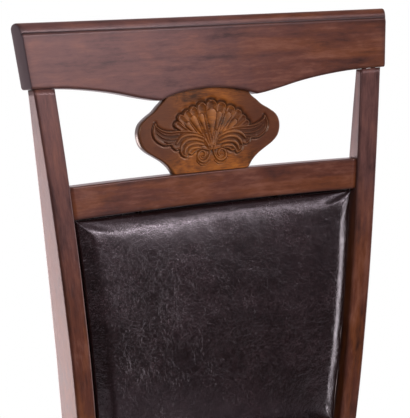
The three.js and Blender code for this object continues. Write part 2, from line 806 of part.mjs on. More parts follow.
/** Where a corner's bolt lies: from the middle of its block's long face into the leg. */
function boltPlacement(corner) {
  const foot = cornerPoint(corner, blockReach / 2, blockReach / 2, boltHeight);
  return placement(foot, cornerPoint(corner, 0, 0, boltHeight).sub(foot));
}

/** Where a block's two screws lie: square to its cross rail and to its side rail. */
function blockScrewPlacements(corner) {
  const depth = blockReach - blockScrewReach - blockScrewSink;
  const intoCross = new THREE.Vector3(0, corner.front ? -1 : 1, 0);
  const intoSide = new THREE.Vector3(corner.side * Math.cos(sideRailAngle), Math.sin(sideRailAngle), 0);
  return [[blockScrewReach, 0, intoCross], [0, blockScrewReach, intoSide]].map(([a, b, direction]) => {
    const face = cornerPoint(corner, a, b, blockScrewHeight);
    return placement(face.addScaledVector(direction, -depth), direction);
  });
}

/** Where a block's seat screw lies: upright, through the block into the seat board. */
function seatScrewPlacement(corner) {
  const foot = cornerPoint(corner, seatScrewAlong, seatScrewAcross, seatScrewSink);
  return placement(foot, upright);
}

/** A round body along +Z, from pairs of radius and height. */
function turnedBody(profile) {
  const points = profile.map(([radius, height]) => new THREE.Vector2(radius, height));
  return new THREE.LatheGeometry(points, roundSides).rotateX(Math.PI / 2);
}

/** A countersunk screw along +Z, with the face of its head at its foot. */
function screwGeometry(length) {
  const profile = [[0, 0], [screwHeadRadius, 0], [screwRadius, screwHeadHeight],
    [screwRadius, length - screwHeadHeight], [0, length]];
  return turnedBody(profile);
}

/** The hole of a screw, with a wider mouth for its sunk head. */
function screwHole(length, matrix) {
  const mouth = bar(screwHeadRadius + holeClearance, cutOverrun + screwHeadHeight + holeClearance);
  const shank = bar(screwRadius + holeClearance, length + holeClearance);
  return moved(join(mouth.translate(0, 0, -cutOverrun), shank), matrix);
}

/** A hexagon bolt along +Z, with its head below its foot. */
function boltGeometry(length) {
  const head = new THREE.CylinderGeometry(boltHeadRadius, boltHeadRadius, boltHeadHeight, headSides);
  head.rotateX(Math.PI / 2);
  const shank = bar(boltRadius, length + boltHeadHeight / 2);
  return join(head, shank).translate(0, 0, -glueLine - boltHeadHeight / 2);
}

/** The hole of a straight fixing: a bolt, pin, dowel or nail. */
function pinHole(radius, length, matrix) {
  const hole = bar(radius + holeClearance, length + 2 * holeClearance).translate(0, 0, -holeClearance);
  return moved(hole, matrix);
}

const pinHoleList = (radius, length, list) => list.map((matrix) => pinHole(radius, length, matrix));

/** A floor glide: a disc with a nail that goes up into the leg. */
function glideGeometry() {
  const top = glideHeight - glueLine;
  const profile = [[0, 0], [glideFlatShare * glideRadius, 0], [glideRadius, top / 2], [glideRadius, top],
    [glideStemRadius, top], [glideStemRadius, glideHeight + glideStemLength - glideStemRadius],
    [0, glideHeight + glideStemLength]];
  return turnedBody(profile);
}

/** Where a leg's glide stands. */
function glidePlacement(side, front) {
  const rear = rearLegSection(0);
  const foot = front
    ? new THREE.Vector3(side * (frontHalf - frontLegFoot / 2), frontFace + frontLegFoot / 2, 0)
    : rearLegPoint(side, 0, rear.width / 2, rear.depth / 2);
  return placement(foot, upright);
}

// Upright fixings of the back, each given by its lower end in the back's frame
const crestDowels = [];
for (const side of [-1, 1]) {
  for (const step of [-1, 1]) {
    const { width, depth } = rearLegSection(crestBottomHeight);
    const across = (width + step * crestDowelSpacing) / 2;
    const top = rearLegPoint(side, crestBottomHeight, across, depth / 2).applyMatrix4(toBack);
    top.z -= crestDowelLength / 2;
    crestDowels.push(placement(top, upright));
  }
}

const medallionDowels = { top: [], foot: [] };
const padPins = [];
const padScrews = [];
for (const side of [-1, 1]) {
  const x = side * medallionDowelHalfSpacing;
  const lift = medallionDowelLength / 2;
  const archZ = -crestDrop(x);
  const middle = (share) => medallionFront(x, share) + medallionThickness / 2;
  const topPoint = new THREE.Vector3(x, middle(-archZ / windowHeight), archZ - lift);
  const footPoint = new THREE.Vector3(x, middle(1), -windowHeight - lift);
  medallionDowels.top.push(placement(topPoint, upright));
  medallionDowels.foot.push(placement(footPoint, upright));
  const padX = side * padFixingHalfSpacing;
  const boardMiddle = padBoardSetback + padBoardThickness / 2;
  const pinZ = -windowHeight - upperRailHeight - (padEndGap + padPinLength) / 2;
  padPins.push(placement(new THREE.Vector3(padX, backFront(padX, pinZ) + boardMiddle, pinZ), upright));
  const screwY = backFront(padX, -lowerRailTop) + boardMiddle;
  const screwZ = -lowerRailTop - lowerRailHeight + padScrewSink;
  padScrews.push(placement(new THREE.Vector3(padX, screwY, screwZ), upright));
}

/** Extent of the seat, drawn in by a margin: v runs from its rear edge to its front edge. */
function seatPlace(u, v, margin) {
  const across = 2 * v - 1;
  const rear = rearRailBack - margin;
  const front = frontFace - seatOverhang + margin - seatFrontBow * (1 - u * u);
  const y = lerp(rear, front, v);
  const drawIn = seatDrawIn * (1 - across ** 4);
  const corner = roundOff(y - front, seatCornerRadius);
  const half = frameHalfAt(y, margin - seatOverhang) - drawIn - corner;
  return { x: u * half, y, fromSide: half * (1 - Math.abs(u)), fromEnd: Math.min(y - front, rear - y) };
}

/** A slab of the seat's outline between a lower and an upper surface, notched for the rear legs. */
function seatSlab(margin, bottom, topAt) {
  const surface = (heightAt) => (u, v) => {
    const { x, y, fromSide, fromEnd } = seatPlace(u, v, margin);
    return new THREE.Vector3(x, y, heightAt(u, v, fromSide, fromEnd));
  };
  const body = slab(slabColumnShares, seatRowShares, surface(topAt), surface(() => bottom));
  const gap = seatNotchGap + margin;
  const high = seatFrameHeight + seatBoardThickness + seatEdgeHeight + seatCrown + cutOverrun;
  const legs = [-1, 1].map((side) => rearLegBlank(side, seatFrameHeight - 2 * cutOverrun, high, gap, gap));
  return cut(body, ...legs);
}

/** Height of the seat's crowned top, less a margin. */
function seatTop(margin) {
  const flat = seatFrameHeight + seatBoardThickness + seatEdgeHeight - margin;
  return (u, v, fromSide, fromEnd) => {
    const fall = Math.max(roundOff(fromSide, seatEdgeRadius), roundOff(fromEnd, seatEdgeRadius));
    return flat - fall + seatCrown * (1 - u * u) * (1 - (2 * v - 1) ** 2);
  };
}

/** The pieces of the back, in the back's own frame. */
function buildBack() {
  const upper = backRail(windowHeight, upperRailHeight);
  const lower = backRail(lowerRailTop, lowerRailHeight);
  const topHoles = pinHoleList(medallionDowelRadius, medallionDowelLength, medallionDowels.top);
  const footHoles = pinHoleList(medallionDowelRadius, medallionDowelLength, medallionDowels.foot);
  const crestHoles = pinHoleList(crestDowelRadius, crestDowelLength, crestDowels);
  const pinHoles = pinHoleList(padPinRadius, padPinLength, padPins);
  const screwHoles = padScrews.map((matrix) => screwHole(padScrewLength, matrix));
  const boardBack = padBoardSetback + padBoardThickness;
  const inner = coverThickness + glueLine;
  const hollow = backPad(coverThickness, boardBack + cutOverrun);
  const cover = cut(backPad(0, boardBack), hollow, ...pinHoles, ...screwHoles);
  const carved = join(medallionBlank(), ...carvedLobes());
  const board = backBoard((u, v) => padPlace(u, v, inner), padBoardSetback, boardBack);
  const rearFront = boardBack + glueLine;
  const rearBack = rearFront + rearCoverThickness;
  const rearCover = backBoard((u, v) => rearCoverPlace(u, v, rearFront), rearFront, rearBack);
  back.add(
    piece("crest_rail", cut(crestBlank(), ...crestHoles, ...topHoles), "wood"),
    piece("medallion", cut(carved, crestBlank(glueLine), ...topHoles, ...footHoles), "carvedWood"),
    piece("upper_back_rail", cut(upper.rail, ...footHoles, ...pinHoles), "wood"),
    piece("lower_back_rail", cut(lower.rail, ...screwHoles), "wood"),
    piece("back_pad_cover", cover, "leather"),
    piece("back_pad_foam", backPad(inner, padBoardSetback - glueLine), "foam"),
    piece("back_pad_board", cut(board, ...pinHoles, ...screwHoles), "plywood"),
    piece("back_rear_cover", rearCover, "leather"),
  );
  const dowel = (name, radius, length, matrix) => placed(piece(name, bar(radius, length), "rawWood"), matrix);
  crestDowels.forEach((matrix, i) => {
    const name = `crest_dowel_${i < 2 ? "left" : "right"}_${i % 2 ? "inner" : "outer"}`;
    back.add(dowel(name, crestDowelRadius, crestDowelLength, matrix));
  });
  sides.forEach((side, i) => {
    for (const [end, list] of Object.entries(medallionDowels)) {
      back.add(dowel(`medallion_${end}_dowel_${side}`, medallionDowelRadius, medallionDowelLength, list[i]));
    }
    back.add(dowel(`pad_pin_${side}`, padPinRadius, padPinLength, padPins[i]));
    back.add(placed(piece(`pad_screw_${side}`, screwGeometry(padScrewLength), "steel"), padScrews[i]));
  });
  return [upper.mortises, lower.mortises];
}

/** The holes of the corner bolts. */
function boltHoles() {
  return corners.map((corner) => pinHole(boltRadius, boltLengthOf(corner), boltPlacement(corner)));
}

/** The rear leg at the seat frame, grown to cut what meets it. */
function rearLegTool(side, grow) {
  const [low, high] = [seatFrameHeight - seatRailHeight - cutOverrun, seatFrameHeight + cutOverrun];
  return rearLegBlank(side, low, high, grow, grow);
}

/** The four seat rails, each cut to its legs and tenoned into them. */
function buildSeatRails(chair) {
  const legs = [-1, 1].flatMap((side) => [
    frontLegBlank(side, glueLine), rearLegTool(side, glueLine),
  ]);
  const screwHoles = corners.flatMap(blockScrewPlacements)
    .map((matrix) => screwHole(blockScrewLength, matrix));
  for (const [name, { length, height, arch, tenon, matrix }] of Object.entries(seatRails)) {
    const body = cut(moved(seatRailBlank(length, height, arch), matrix), ...legs);
    const whole = join(body, moved(seatTenons(length, tenon), matrix));
    chair.add(piece(name, cut(whole, ...screwHoles), "wood"));
  }
}

/** The four legs, with the mortises and holes of all that is fixed in them. */
function buildLegs(chair, backMortises) {
  const mortises = Object.values(seatRails)
    .map(({ length, tenon, matrix }) => moved(seatTenons(length, tenon, glueLine), matrix));
  const crestHoles = pinHoleList(crestDowelRadius, crestDowelLength, crestDowels)
    .map((hole) => moved(hole, fromBack));
  const crest = moved(crestSide(glueLine), fromBack);
  const nailTop = glideHeight + glideStemLength;
  [-1, 1].forEach((side, i) => {
    const [rearNail, frontNail] = [false, true]
      .map((front) => pinHole(glideStemRadius, nailTop, glidePlacement(side, front)));
    const rear = cut(rearLegBlank(side, glideHeight, crestBottomHeight + cutOverrun),
      crest, ...backMortises, ...mortises, ...boltHoles(), ...crestHoles, rearNail);
    const front = cut(frontLegBlank(side), ...mortises, ...boltHoles(), frontNail);
    chair.add(piece(`rear_leg_${sides[i]}`, rear, "wood"), piece(`front_leg_${sides[i]}`, front, "wood"));
    for (const end of ["rear", "front"]) {
      const glide = piece(`floor_glide_${end}_${sides[i]}`, glideGeometry(), "plastic");
      chair.add(placed(glide, glidePlacement(side, end === "front")));
    }
  });
}

/** A corner block, cut to the rails and the leg that it braces. */
function blockGeometry(corner) {
  const [near, far] = [-cutOverrun, blockReach + cutOverrun];
  const outline = [[near, near], [far, near], [near, far]].map(([a, b]) => cornerPoint(corner, a, b, 0));
  const block = plate(outline, blockBottom, blockBottom + blockHeight);
  const rails = Object.values(seatRails)
    .map(({ length, matrix }) => moved(seatRailBlank(length, seatRailHeight, 0, glueLine), matrix));
  const leg = corner.front
    ? frontLegBlank(corner.side, glueLine)
    : rearLegTool(corner.side, glueLine);
  return cut(block, leg, ...rails,
    pinHole(boltRadius, boltLengthOf(corner), boltPlacement(corner)),
    ...blockScrewPlacements(corner).map((matrix) => screwHole(blockScrewLength, matrix)),
    screwHole(seatScrewLength, seatScrewPlacement(corner)));
}

/** The corner blocks with their bolts and screws. */
function buildCorners(chair) {
  for (const corner of corners) {
    chair.add(piece(`corner_block_${corner.name}`, blockGeometry(corner), "rawWood"));
    const bolt = piece(`corner_bolt_${corner.name}`, boltGeometry(boltLengthOf(corner)), "steel");
    chair.add(placed(bolt, boltPlacement(corner)));
    blockScrewPlacements(corner).forEach((matrix, i) => {
      const name = `block_screw_${corner.name}_${i ? "side" : "cross"}`;
      chair.add(placed(piece(name, screwGeometry(blockScrewLength), "steel"), matrix));
    });
    const seatScrew = piece(`seat_screw_${corner.name}`, screwGeometry(seatScrewLength), "steel");
    chair.add(placed(seatScrew, seatScrewPlacement(corner)));
  }
}

/** The padded seat on its board, and the dust cover below it. */
function buildSeat(chair) {
  const boardBottom = seatFrameHeight + glueLine;
  const boardTop = boardBottom + seatBoardThickness;
  const inner = coverThickness + glueLine;
  const holes = corners.map((corner) => screwHole(seatScrewLength, seatScrewPlacement(corner)));
  const hollow = seatSlab(coverThickness, boardBottom - cutOverrun, seatTop(coverThickness));
  const cover = cut(seatSlab(0, boardBottom, seatTop(0)), hollow);
  const board = cut(seatSlab(inner, boardBottom, () => boardTop), ...holes);
  const [rearY, frontY] = [rearRailFront - dustCoverMargin, frontRailBack + dustCoverMargin];
  const margin = seatRailThickness + dustCoverMargin;
  const outline = [[1, rearY], [-1, rearY], [-1, frontY], [1, frontY]]
    .map(([side, y]) => new THREE.Vector2(side * frameHalfAt(y, margin), y));
  const legs = [-1, 1].flatMap((side) => [frontLegBlank(side, dustCoverMargin),
    rearLegTool(side, dustCoverMargin)]);
  const dust = cut(plate(outline, seatFrameHeight - dustCoverThickness, seatFrameHeight), ...legs, ...holes);
  chair.add(
    piece("seat_board", board, "plywood"),
    piece("seat_foam", seatSlab(inner, boardTop + glueLine, seatTop(inner)), "foam"),
    piece("seat_cover", cover, "leather"),
    piece("dust_cover", dust, "cloth"),
  );
}

const chair = new THREE.Group();
chair.name = "dining_chair";
chair.add(back);
buildLegs(chair, buildBack());
buildSeatRails(chair);
buildCorners(chair);
buildSeat(chair);

// The origin is on the floor, under the middle of the whole chair
const extent = new THREE.Box3().setFromObject(chair, true);
chair.position.y = -(extent.min.y + extent.max.y) / 2;

export default chair;
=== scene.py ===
"""Dresses a wooden dining chair: stained and carved wood, padded leatherette and fixings."""

import sys
import logging
import math
from collections.abc import Callable, Sequence
from dataclasses import dataclass, field
from enum import Enum

import bpy
import numpy as np
from mathutils import Matrix, Vector


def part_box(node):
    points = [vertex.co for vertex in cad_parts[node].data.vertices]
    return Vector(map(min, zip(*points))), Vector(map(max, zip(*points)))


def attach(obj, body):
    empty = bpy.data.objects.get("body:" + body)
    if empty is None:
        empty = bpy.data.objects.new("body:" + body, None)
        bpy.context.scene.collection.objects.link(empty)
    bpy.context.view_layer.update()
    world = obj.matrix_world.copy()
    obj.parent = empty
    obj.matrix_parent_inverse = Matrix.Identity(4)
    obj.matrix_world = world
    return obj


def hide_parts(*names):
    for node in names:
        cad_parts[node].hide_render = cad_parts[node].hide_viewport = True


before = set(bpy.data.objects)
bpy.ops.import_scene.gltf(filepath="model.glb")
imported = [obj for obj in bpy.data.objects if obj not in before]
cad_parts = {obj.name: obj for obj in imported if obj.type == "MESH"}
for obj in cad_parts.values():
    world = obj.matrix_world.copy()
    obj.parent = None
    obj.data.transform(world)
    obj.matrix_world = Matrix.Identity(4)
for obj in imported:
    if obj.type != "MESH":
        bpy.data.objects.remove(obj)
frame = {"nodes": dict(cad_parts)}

Array = np.ndarray
Faces = list[tuple[int, ...]]

log = logging.getLogger("chair")
MM = 0.001
GLUE_LINE = 0.3 * MM
BODY = "root"
CORNER_STEPS = 6  # steps round a rounded edge, even
FIT_ROUNDS = 8  # repeats after which an edge lies on the piece that it meets


class Slot(Enum):
    """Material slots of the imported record."""

    STAINED_WOOD = "stained_wood"
    CARVED_WOOD = "carved_wood"
    LEATHERETTE = "leatherette"
    PLYWOOD = "plywood"
    RAW_WOOD = "raw_wood"
    DUST_CLOTH = "dust_cloth"
    ZINCED_STEEL = "zinced_steel"
    GLIDE_PLASTIC = "glide_plastic"


class Side(Enum):
    """Sides of the chair for someone who looks at its front."""

    LEFT = -1
    RIGHT = 1

    @property
    def word(self) -> str:
        """The side's name in lower case."""
        return self.name.lower()


# Number helpers


def mix(a: Array | float, b: Array | float, share: Array | float) -> Array | float:
    """The value at a share of the way from a to b."""
    return a + (b - a) * share


def smooth(low: float, high: float, value: Array) -> Array:
    """A smooth step from 0 at low to 1 at high."""
    t = np.clip((value - low) / (high - low), 0, 1)
    return t * t * (3 - 2 * t)


def round_off(distance: Array, radius: float) -> Array:
    """How far a rounded edge has fallen at a distance in from it."""
    short = np.clip(radius - distance, 0, radius)
    return radius - np.sqrt(radius * radius - short * short)


@dataclass(frozen=True)
class Curve:
    """A smooth curve through rows of numbers, of which the first column is the place on it."""

    rows: tuple[tuple[float, ...], ...]

    def at(self, share: Array | float, column: int = 1) -> Array:
        """The curve's value.

        Args:
            share: The place or places on the curve.
            column: Which column to read.

        Returns:
            One value for each place.
        """
        table = np.asarray(self.rows, float)
        x, y = table[:, 0], table[:, column]
        last = len(x) - 1
        before, after = np.maximum(np.arange(last + 1) - 1, 0), np.minimum(np.arange(last + 1) + 1, last)
        slope = (y[after] - y[before]) / (x[after] - x[before])
        places = np.asarray(share, float)
        i = np.searchsorted(x[1:-1], places)
        span = x[i + 1] - x[i]
        t = np.clip((places - x[i]) / span, 0, 1)
        flat = y[i] * (2 * t**3 - 3 * t**2 + 1) + y[i + 1] * (3 * t**2 - 2 * t**3)
        return flat + span * (slope[i] * (t**3 - 2 * t**2 + t) + slope[i + 1] * (t**3 - t**2))


@dataclass(frozen=True)
class Ring:
    """A closed outline of a section, with how far each of its points is from the nearest rounded edge."""

    points: Array
    rim: Array


class Outline:
    """A section's outline in the making, with supporting points beside each rounded edge."""

    def __init__(self) -> None:
        """Starts without a point."""
        self.points: list[tuple[float, float]] = []
        self.edges: list[int] = []

    def arc(self, x: float, y: float, radius: float, start: float) -> None:
        """Adds a quarter of a circle round a centre, from an angle on, as a rounded edge.

        Args:
            x: First place of the centre.
            y: Second place of the centre.
            radius: Radius of the edge.
            start: Angle at which it begins.
        """
        self.edges.append(len(self.points) + CORNER_STEPS // 2)
        for k in range(CORNER_STEPS + 1):
            angle = start + 0.5 * math.pi * k / CORNER_STEPS
            self.points.append((x + radius * math.cos(angle), y + radius * math.sin(angle)))

    def run(self, end: tuple[float, float]) -> None:
        """Adds the supporting points of a flat face up to the next rounded edge.

        Args:
            end: Where that edge begins.
        """
        begin, length = self.points[-1], math.dist(self.points[-1], end)
        support = min(0.8 * MM, 0.2 * length)
        for step in (support, 0.5 * length, length - support):
            self.points.append((mix(begin[0], end[0], step / length), mix(begin[1], end[1], step / length)))

    def ring(self) -> Ring:
        """The closed ring, whose distances are measured round it.

        Returns:
            The ring.
        """
        outline = np.asarray(self.points, float)
        steps = np.linalg.norm(np.roll(outline, -1, axis=0) - outline, axis=1)
        along = np.concatenate([[0], np.cumsum(steps)])
        total, places = along[-1], along[:-1]
        gaps = np.abs(places[:, None] - places[self.edges][None, :])
        return Ring(outline, np.minimum(gaps, total - gaps).min(axis=1))


def rounded_ring(width: float, depth: float, radius: float) -> Ring:
    """A rectangle from the origin with rounded corners.

    Args:
        width: Size along the first axis.
        depth: Size along the second axis.
        radius: Radius of the corners.

    Returns:
        The ring.
    """
    ends = ((radius, radius), (width - radius, radius), (width - radius, depth - radius), (radius, depth - radius))
    corners = [(x, y, turn * math.pi) for (x, y), turn in zip(ends, (1, 1.5, 0, 0.5))]
    outline = Outline()
    for (x, y, start), (nx, ny, turn) in zip(corners, corners[1:] + corners[:1]):
        outline.arc(x, y, radius, start)
        outline.run((nx + radius * math.cos(turn), ny + radius * math.sin(turn)))
    return outline.ring()


def linked(name: str, data: bpy.types.ID) -> bpy.types.Object:
    """A new object in the scene."""
    made = bpy.data.objects.new(name, data)
    bpy.context.scene.collection.objects.link(made)
    return made


def xyz(x: Array, y: Array, z: Array) -> Array:
    """Points from their coordinates."""
    return np.stack(np.broadcast_arrays(x, y, z), axis=-1)


@dataclass
class Shell:
    """A mesh in the making: its corners, faces and the values that materials read at its corners."""

    corners: Array
    faces: Faces
    values: dict[str, Array] = field(default_factory=dict)

    def volume(self) -> float:
        """Signed volume that the faces enclose.

        Returns:
            The volume, negative where the faces point inwards.
        """
        total = 0.0
        for size in {len(face) for face in self.faces}:
            group = np.array([face for face in self.faces if len(face) == size])
            first = self.corners[group[:, 0]]
            for k in range(1, size - 1):
                b, c = self.corners[group[:, k]], self.corners[group[:, k + 1]]
                total += float(np.einsum("ij,ij->", first, np.cross(b, c)))
        return total / 6

    def build(self, name: str) -> bpy.types.Object:
        """Makes the Blender object, with its faces turned outwards and shaded smooth.

        Args:
            name: Name of the piece.

        Returns:
            The linked object.
        """
        faces = self.faces if self.volume() > 0 else [face[::-1] for face in self.faces]
        mesh = bpy.data.meshes.new(name)
        mesh.from_pydata(self.corners.tolist(), [], faces)
        for key, data in self.values.items():
            kind = "FLOAT_VECTOR" if data.ndim == 2 else "FLOAT"
            layer = mesh.attributes.new(key, kind, "POINT").data
            layer.foreach_set("vector" if data.ndim == 2 else "value", data.astype(np.float32).ravel())
        mesh.shade_smooth()
        mesh.update()
        return linked(name, mesh)


def closed(grid: Array) -> Array:
    """A grid of corners whose first column follows its last one again."""
    return np.column_stack([grid, grid[:, 0]])


def quads_of(grid: Array, reverse: bool = False) -> Faces:
    """Faces between the rows and columns of a grid of corners."""
    quads = np.stack([grid[:-1, :-1], grid[1:, :-1], grid[1:, 1:], grid[:-1, 1:]], axis=-1).reshape(-1, 4)
    return [*map(tuple, quads[:, [0, 3, 2, 1] if reverse else [0, 1, 2, 3]].tolist())]


def loft(rings: Array, **values: Array) -> Shell:
    """A body lofted through closed rings, with its first and last ring filled.

    Args:
        rings: Points by ring, place in the ring and axis.
        **values: Values for the materials by ring and place in the ring.

    Returns:
        The closed shell.
    """
    count, size = rings.shape[:2]
    grid = np.arange(count * size).reshape(count, size)
    faces = [*quads_of(closed(grid), reverse=True), tuple(range(size - 1, -1, -1)), tuple(grid[-1].tolist())]
    flat = {key: data.reshape(count * size, *data.shape[2:]) for key, data in values.items()}
    return Shell(rings.reshape(-1, 3), faces, flat)


def slab(front: Array, rear: Array, walls: int = 1) -> tuple[Shell, Array]:
    """A body between a front and a rear surface over the same rows and columns.

    Args:
        front: Points of the front by row, column and axis.
        rear: Points of the rear.
        walls: Number of strips in the wall between them.

    Returns:
        The closed shell, and each corner's share of the way from front to rear.
    """
    rows, columns = front.shape[:2]
    layer = rows * columns
    grid = np.arange(layer).reshape(rows, columns)
    pairs = zip(quads_of(grid), quads_of(grid + layer, reverse=True))
    faces = [face for pair in pairs for face in pair]
    loop = np.concatenate([grid[0, :-1], grid[:-1, -1], grid[-1, :0:-1], grid[:0:-1, 0]])
    flat_front, flat_rear, shares = front.reshape(-1, 3), rear.reshape(-1, 3), np.arange(1, walls) / walls
    between = [mix(flat_front[loop], flat_rear[loop], share) for share in shares]
    added = 2 * layer + np.arange(len(between) * len(loop)).reshape(-1, len(loop))
    levels = np.concatenate([[loop], added, [loop + layer]])
    faces += quads_of(closed(levels), reverse=True)
    depth = np.concatenate([np.zeros(layer), np.ones(layer), np.repeat(shares, len(loop))])
    return Shell(np.concatenate([flat_front, flat_rear, *between]), faces), depth


# Shader maths


class Shade:
    """A shader value that turns Python operators into Math nodes."""

    def __init__(self, graph: "Graph", socket: bpy.types.NodeSocket) -> None:
        """Wraps an output socket of a graph."""
        self.graph = graph
        self.socket = socket

    def _math(self, operation: str, *values: "Shade | float") -> "Shade":
        """A Math node over some values."""
        return self.graph.node("Math", {"operation": operation}, *values)

    def __add__(self, other: "Shade | float") -> "Shade":
        """Sum."""
        return self._math("ADD", self, other)

    def __radd__(self, other: float) -> "Shade":
        """Sum, reflected."""
        return self._math("ADD", other, self)

    def __sub__(self, other: "Shade | float") -> "Shade":
        """Difference."""
        return self._math("SUBTRACT", self, other)

    def __rsub__(self, other: float) -> "Shade":
        """Difference, reflected."""
        return self._math("SUBTRACT", other, self)

    def __mul__(self, other: "Shade | float") -> "Shade":
        """Product."""
        return self._math("MULTIPLY", self, other)

    def __rmul__(self, other: float) -> "Shade":
        """Product, reflected."""
        return self._math("MULTIPLY", other, self)

    def step(self, low: float, high: float) -> "Shade":
        """A smooth step of this value from 0 at low to 1 at high, or down where high is less."""
        limits = (low, high, 0.0, 1.0) if low <= high else (high, low, 1.0, 0.0)
        return self.graph.node("MapRange", {"interpolation_type": "SMOOTHSTEP"}, self, *limits)

    def ramp(self, *stops: tuple[float, tuple[float, ...]]) -> "Shade":
        """A colour ramp over this value."""
        return self.graph.node("ValToRGB", {"stops": stops}, self)


Link = Shade | float | tuple[float, ...]
Waves = float | tuple[float, float, float]


class Graph:
    """The node tree of a material or the world, built from expressions."""

    def __init__(self, owner: bpy.types.Material | bpy.types.World) -> None:
        """Starts with an empty tree.

        Args:
            owner: The material or the world.
        """
        self.owner = owner
        owner.use_nodes = True
        self.tree = owner.node_tree
        self.tree.nodes.clear()

    def node(
        self, kind: str, settings: dict | None = None, *inputs: Link | None, output: int | str = 0, **named: Link
    ) -> Shade:
        """Adds a node.

        Args:
            kind: Blender's type name of the node, after "ShaderNode".
            settings: Its settings, set before its sockets; "stops" are a ramp's stops.
            *inputs: Values or links of its sockets in order, None for one that stays.
            output: Which of its outputs to return.
            **named: Values or links by socket name, with underscores for spaces.

        Returns:
            The chosen output.
        """
        made = self.tree.nodes.new(f"ShaderNode{kind}")
        for key, value in (settings or {}).items():
            if key == "stops":
                self._set_stops(made.color_ramp, value)
            else:
                setattr(made, key, value)
        sockets = [s for s in made.inputs if s.enabled]
        for socket, value in zip(sockets, inputs):
            self._feed(socket, value)
        for key, value in named.items():
            label = key.replace("_", " ")
            self._feed(next(s for s in sockets if s.name == label), value)
        outputs = [s for s in made.outputs if s.enabled]
        chosen = outputs[output] if isinstance(output, int) else next(s for s in outputs if s.name == output)
        return Shade(self, chosen)

    def _set_stops(self, ramp: bpy.types.ColorRamp, stops: Sequence[tuple[float, tuple[float, ...]]]) -> None:
        """Sets a ramp's stops.

        Args:
            ramp: The ramp.
            stops: Pairs of place and colour.
        """
        while len(ramp.elements) < len(stops):
            ramp.elements.new(1.0)
        for element, (place, colour) in zip(ramp.elements, stops):
            element.position = place
            element.color = (*colour[:3], 1.0)

    def _feed(self, socket: bpy.types.NodeSocket, value: Link | None) -> None:
        """Links or sets one socket.

        Args:
            socket: The socket.
            value: A link or a value, or None to leave it.
        """
        if isinstance(value, Shade):
            self.tree.links.new(value.socket, socket)
        elif value is not None:
            socket.default_value = value

    def place(self) -> Shade:
        """The place on the object, in metres."""
        return self.node("TexCoord", output="Object")

    def along(self, axis: str, vector: Shade | None = None) -> Shade:
        """One axis of a vector, or of the place on the object."""
        return self.node("SeparateXYZ", {}, vector or self.place(), output=axis)

    def reading(self, name: str, output: str = "Fac") -> Shade:
        """A value stored at the mesh's corners."""
        return self.node("Attribute", {"attribute_name": name}, output=output)

    def vector(self, operation: str, a: Link, b: Link) -> Shade:
        """A Vector Math node over two vectors."""
        return self.node("VectorMath", {"operation": operation}, a, b)

    def scaled(self, vector: Shade, factors: Waves) -> Shade:
        """A vector multiplied, by one factor for each axis or all."""
        return self.vector("MULTIPLY", vector, factors if isinstance(factors, tuple) else (factors,) * 3)

    def noise(
        self, vector: Shade, waves: Waves, detail: float = 2.0, roughness: float = 0.5, distortion: float = 0.0,
        output: str = "Fac",
    ) -> Shade:
        """Noise about 0.5.

        Args:
            vector: The place.
            waves: How many waves there are per metre, along each axis or all.
            detail: How many finer noises are added.
            roughness: How strong these are.
            distortion: How far it is bent.
            output: "Fac" for a number or "Color" for a vector.

        Returns:
            The noise.
        """
        values = {"Detail": detail, "Roughness": roughness, "Distortion": distortion}
        return self.node("TexNoise", {}, self.scaled(vector, waves), output=output, Scale=1.0, **values)

    def warped(self, vector: Shade, waves: Waves, reach: Waves) -> Shade:
        """A vector pushed about by slow noise, by so many waves per metre and so many metres."""
        push = self.vector("SUBTRACT", self.noise(vector, waves, output="Color"), (0.5,) * 3)
        return self.vector("ADD", vector, self.scaled(push, reach))

    def blend(self, share: Link, a: Link, b: Link) -> Shade:
        """Two colours mixed, by the share of the second."""
        wide = [(*colour, 1.0) if isinstance(colour, tuple) else colour for colour in (a, b)]
        return self.node("Mix", {"data_type": "RGBA", "clamp_result": True}, share, *wide)

    def finish(
        self, colour: Shade, rough: Shade, height: Shade, distance: float, strength: float, **constants: Link
    ) -> None:
        """Adds the surface shader.

        Args:
            colour: The base colour.
            rough: The roughness.
            height: Height of the surface, between 0 and 1.
            distance: How far it rises, in metres.
            strength: How much of that is seen.
            **constants: Plain values by socket name, with underscores for spaces.
        """
        normal = self.node("Bump", {}, Strength=strength, Distance=distance, Height=height)
        named = {key.replace("_", " "): value for key, value in constants.items()}
        shader = self.tree.nodes.new("ShaderNodeBsdfPrincipled")
        for name, value in {"Base Color": colour, "Roughness": rough, "Normal": normal, **named}.items():
            self._feed(shader.inputs[name], value)
        self.show(Shade(self, shader.outputs[0]))

    def show(self, surface: Shade, kind: str = "ShaderNodeOutputMaterial") -> None:
        """Links a surface to the tree's output."""
        self.tree.links.new(surface.socket, self.tree.nodes.new(kind).inputs[0])


Colour = tuple[float, float, float]


def srgb(red: int, green: int, blue: int) -> Colour:
    """A colour from the numbers by which it is seen on a screen.

    Args:
        red: Red, from 0 to 255.
        green: Green.
        blue: Blue.

    Returns:
        The colour as amounts of light.
    """

    def linear(value: int) -> float:
        """One channel as an amount of light."""
        share = value / 255
        return share / 12.92 if share <= 0.04045 else ((share + 0.055) / 1.055) ** 2.4

    return (linear(red), linear(green), linear(blue))


# Finishes


class Finish:
    """A finish that paints a material of its own."""

    def build(self, name: str) -> bpy.types.Material:
        """Makes the material.

        Args:
            name: Its name.

        Returns:
            The material.
        """
        g = Graph(bpy.data.materials.new(name))
        self._paint(g)
        return g.owner

    def _paint(self, g: Graph) -> None:
        """Adds the nodes, and each finish has its own.

        Args:
            g: The material's graph.
        """
        raise NotImplementedError


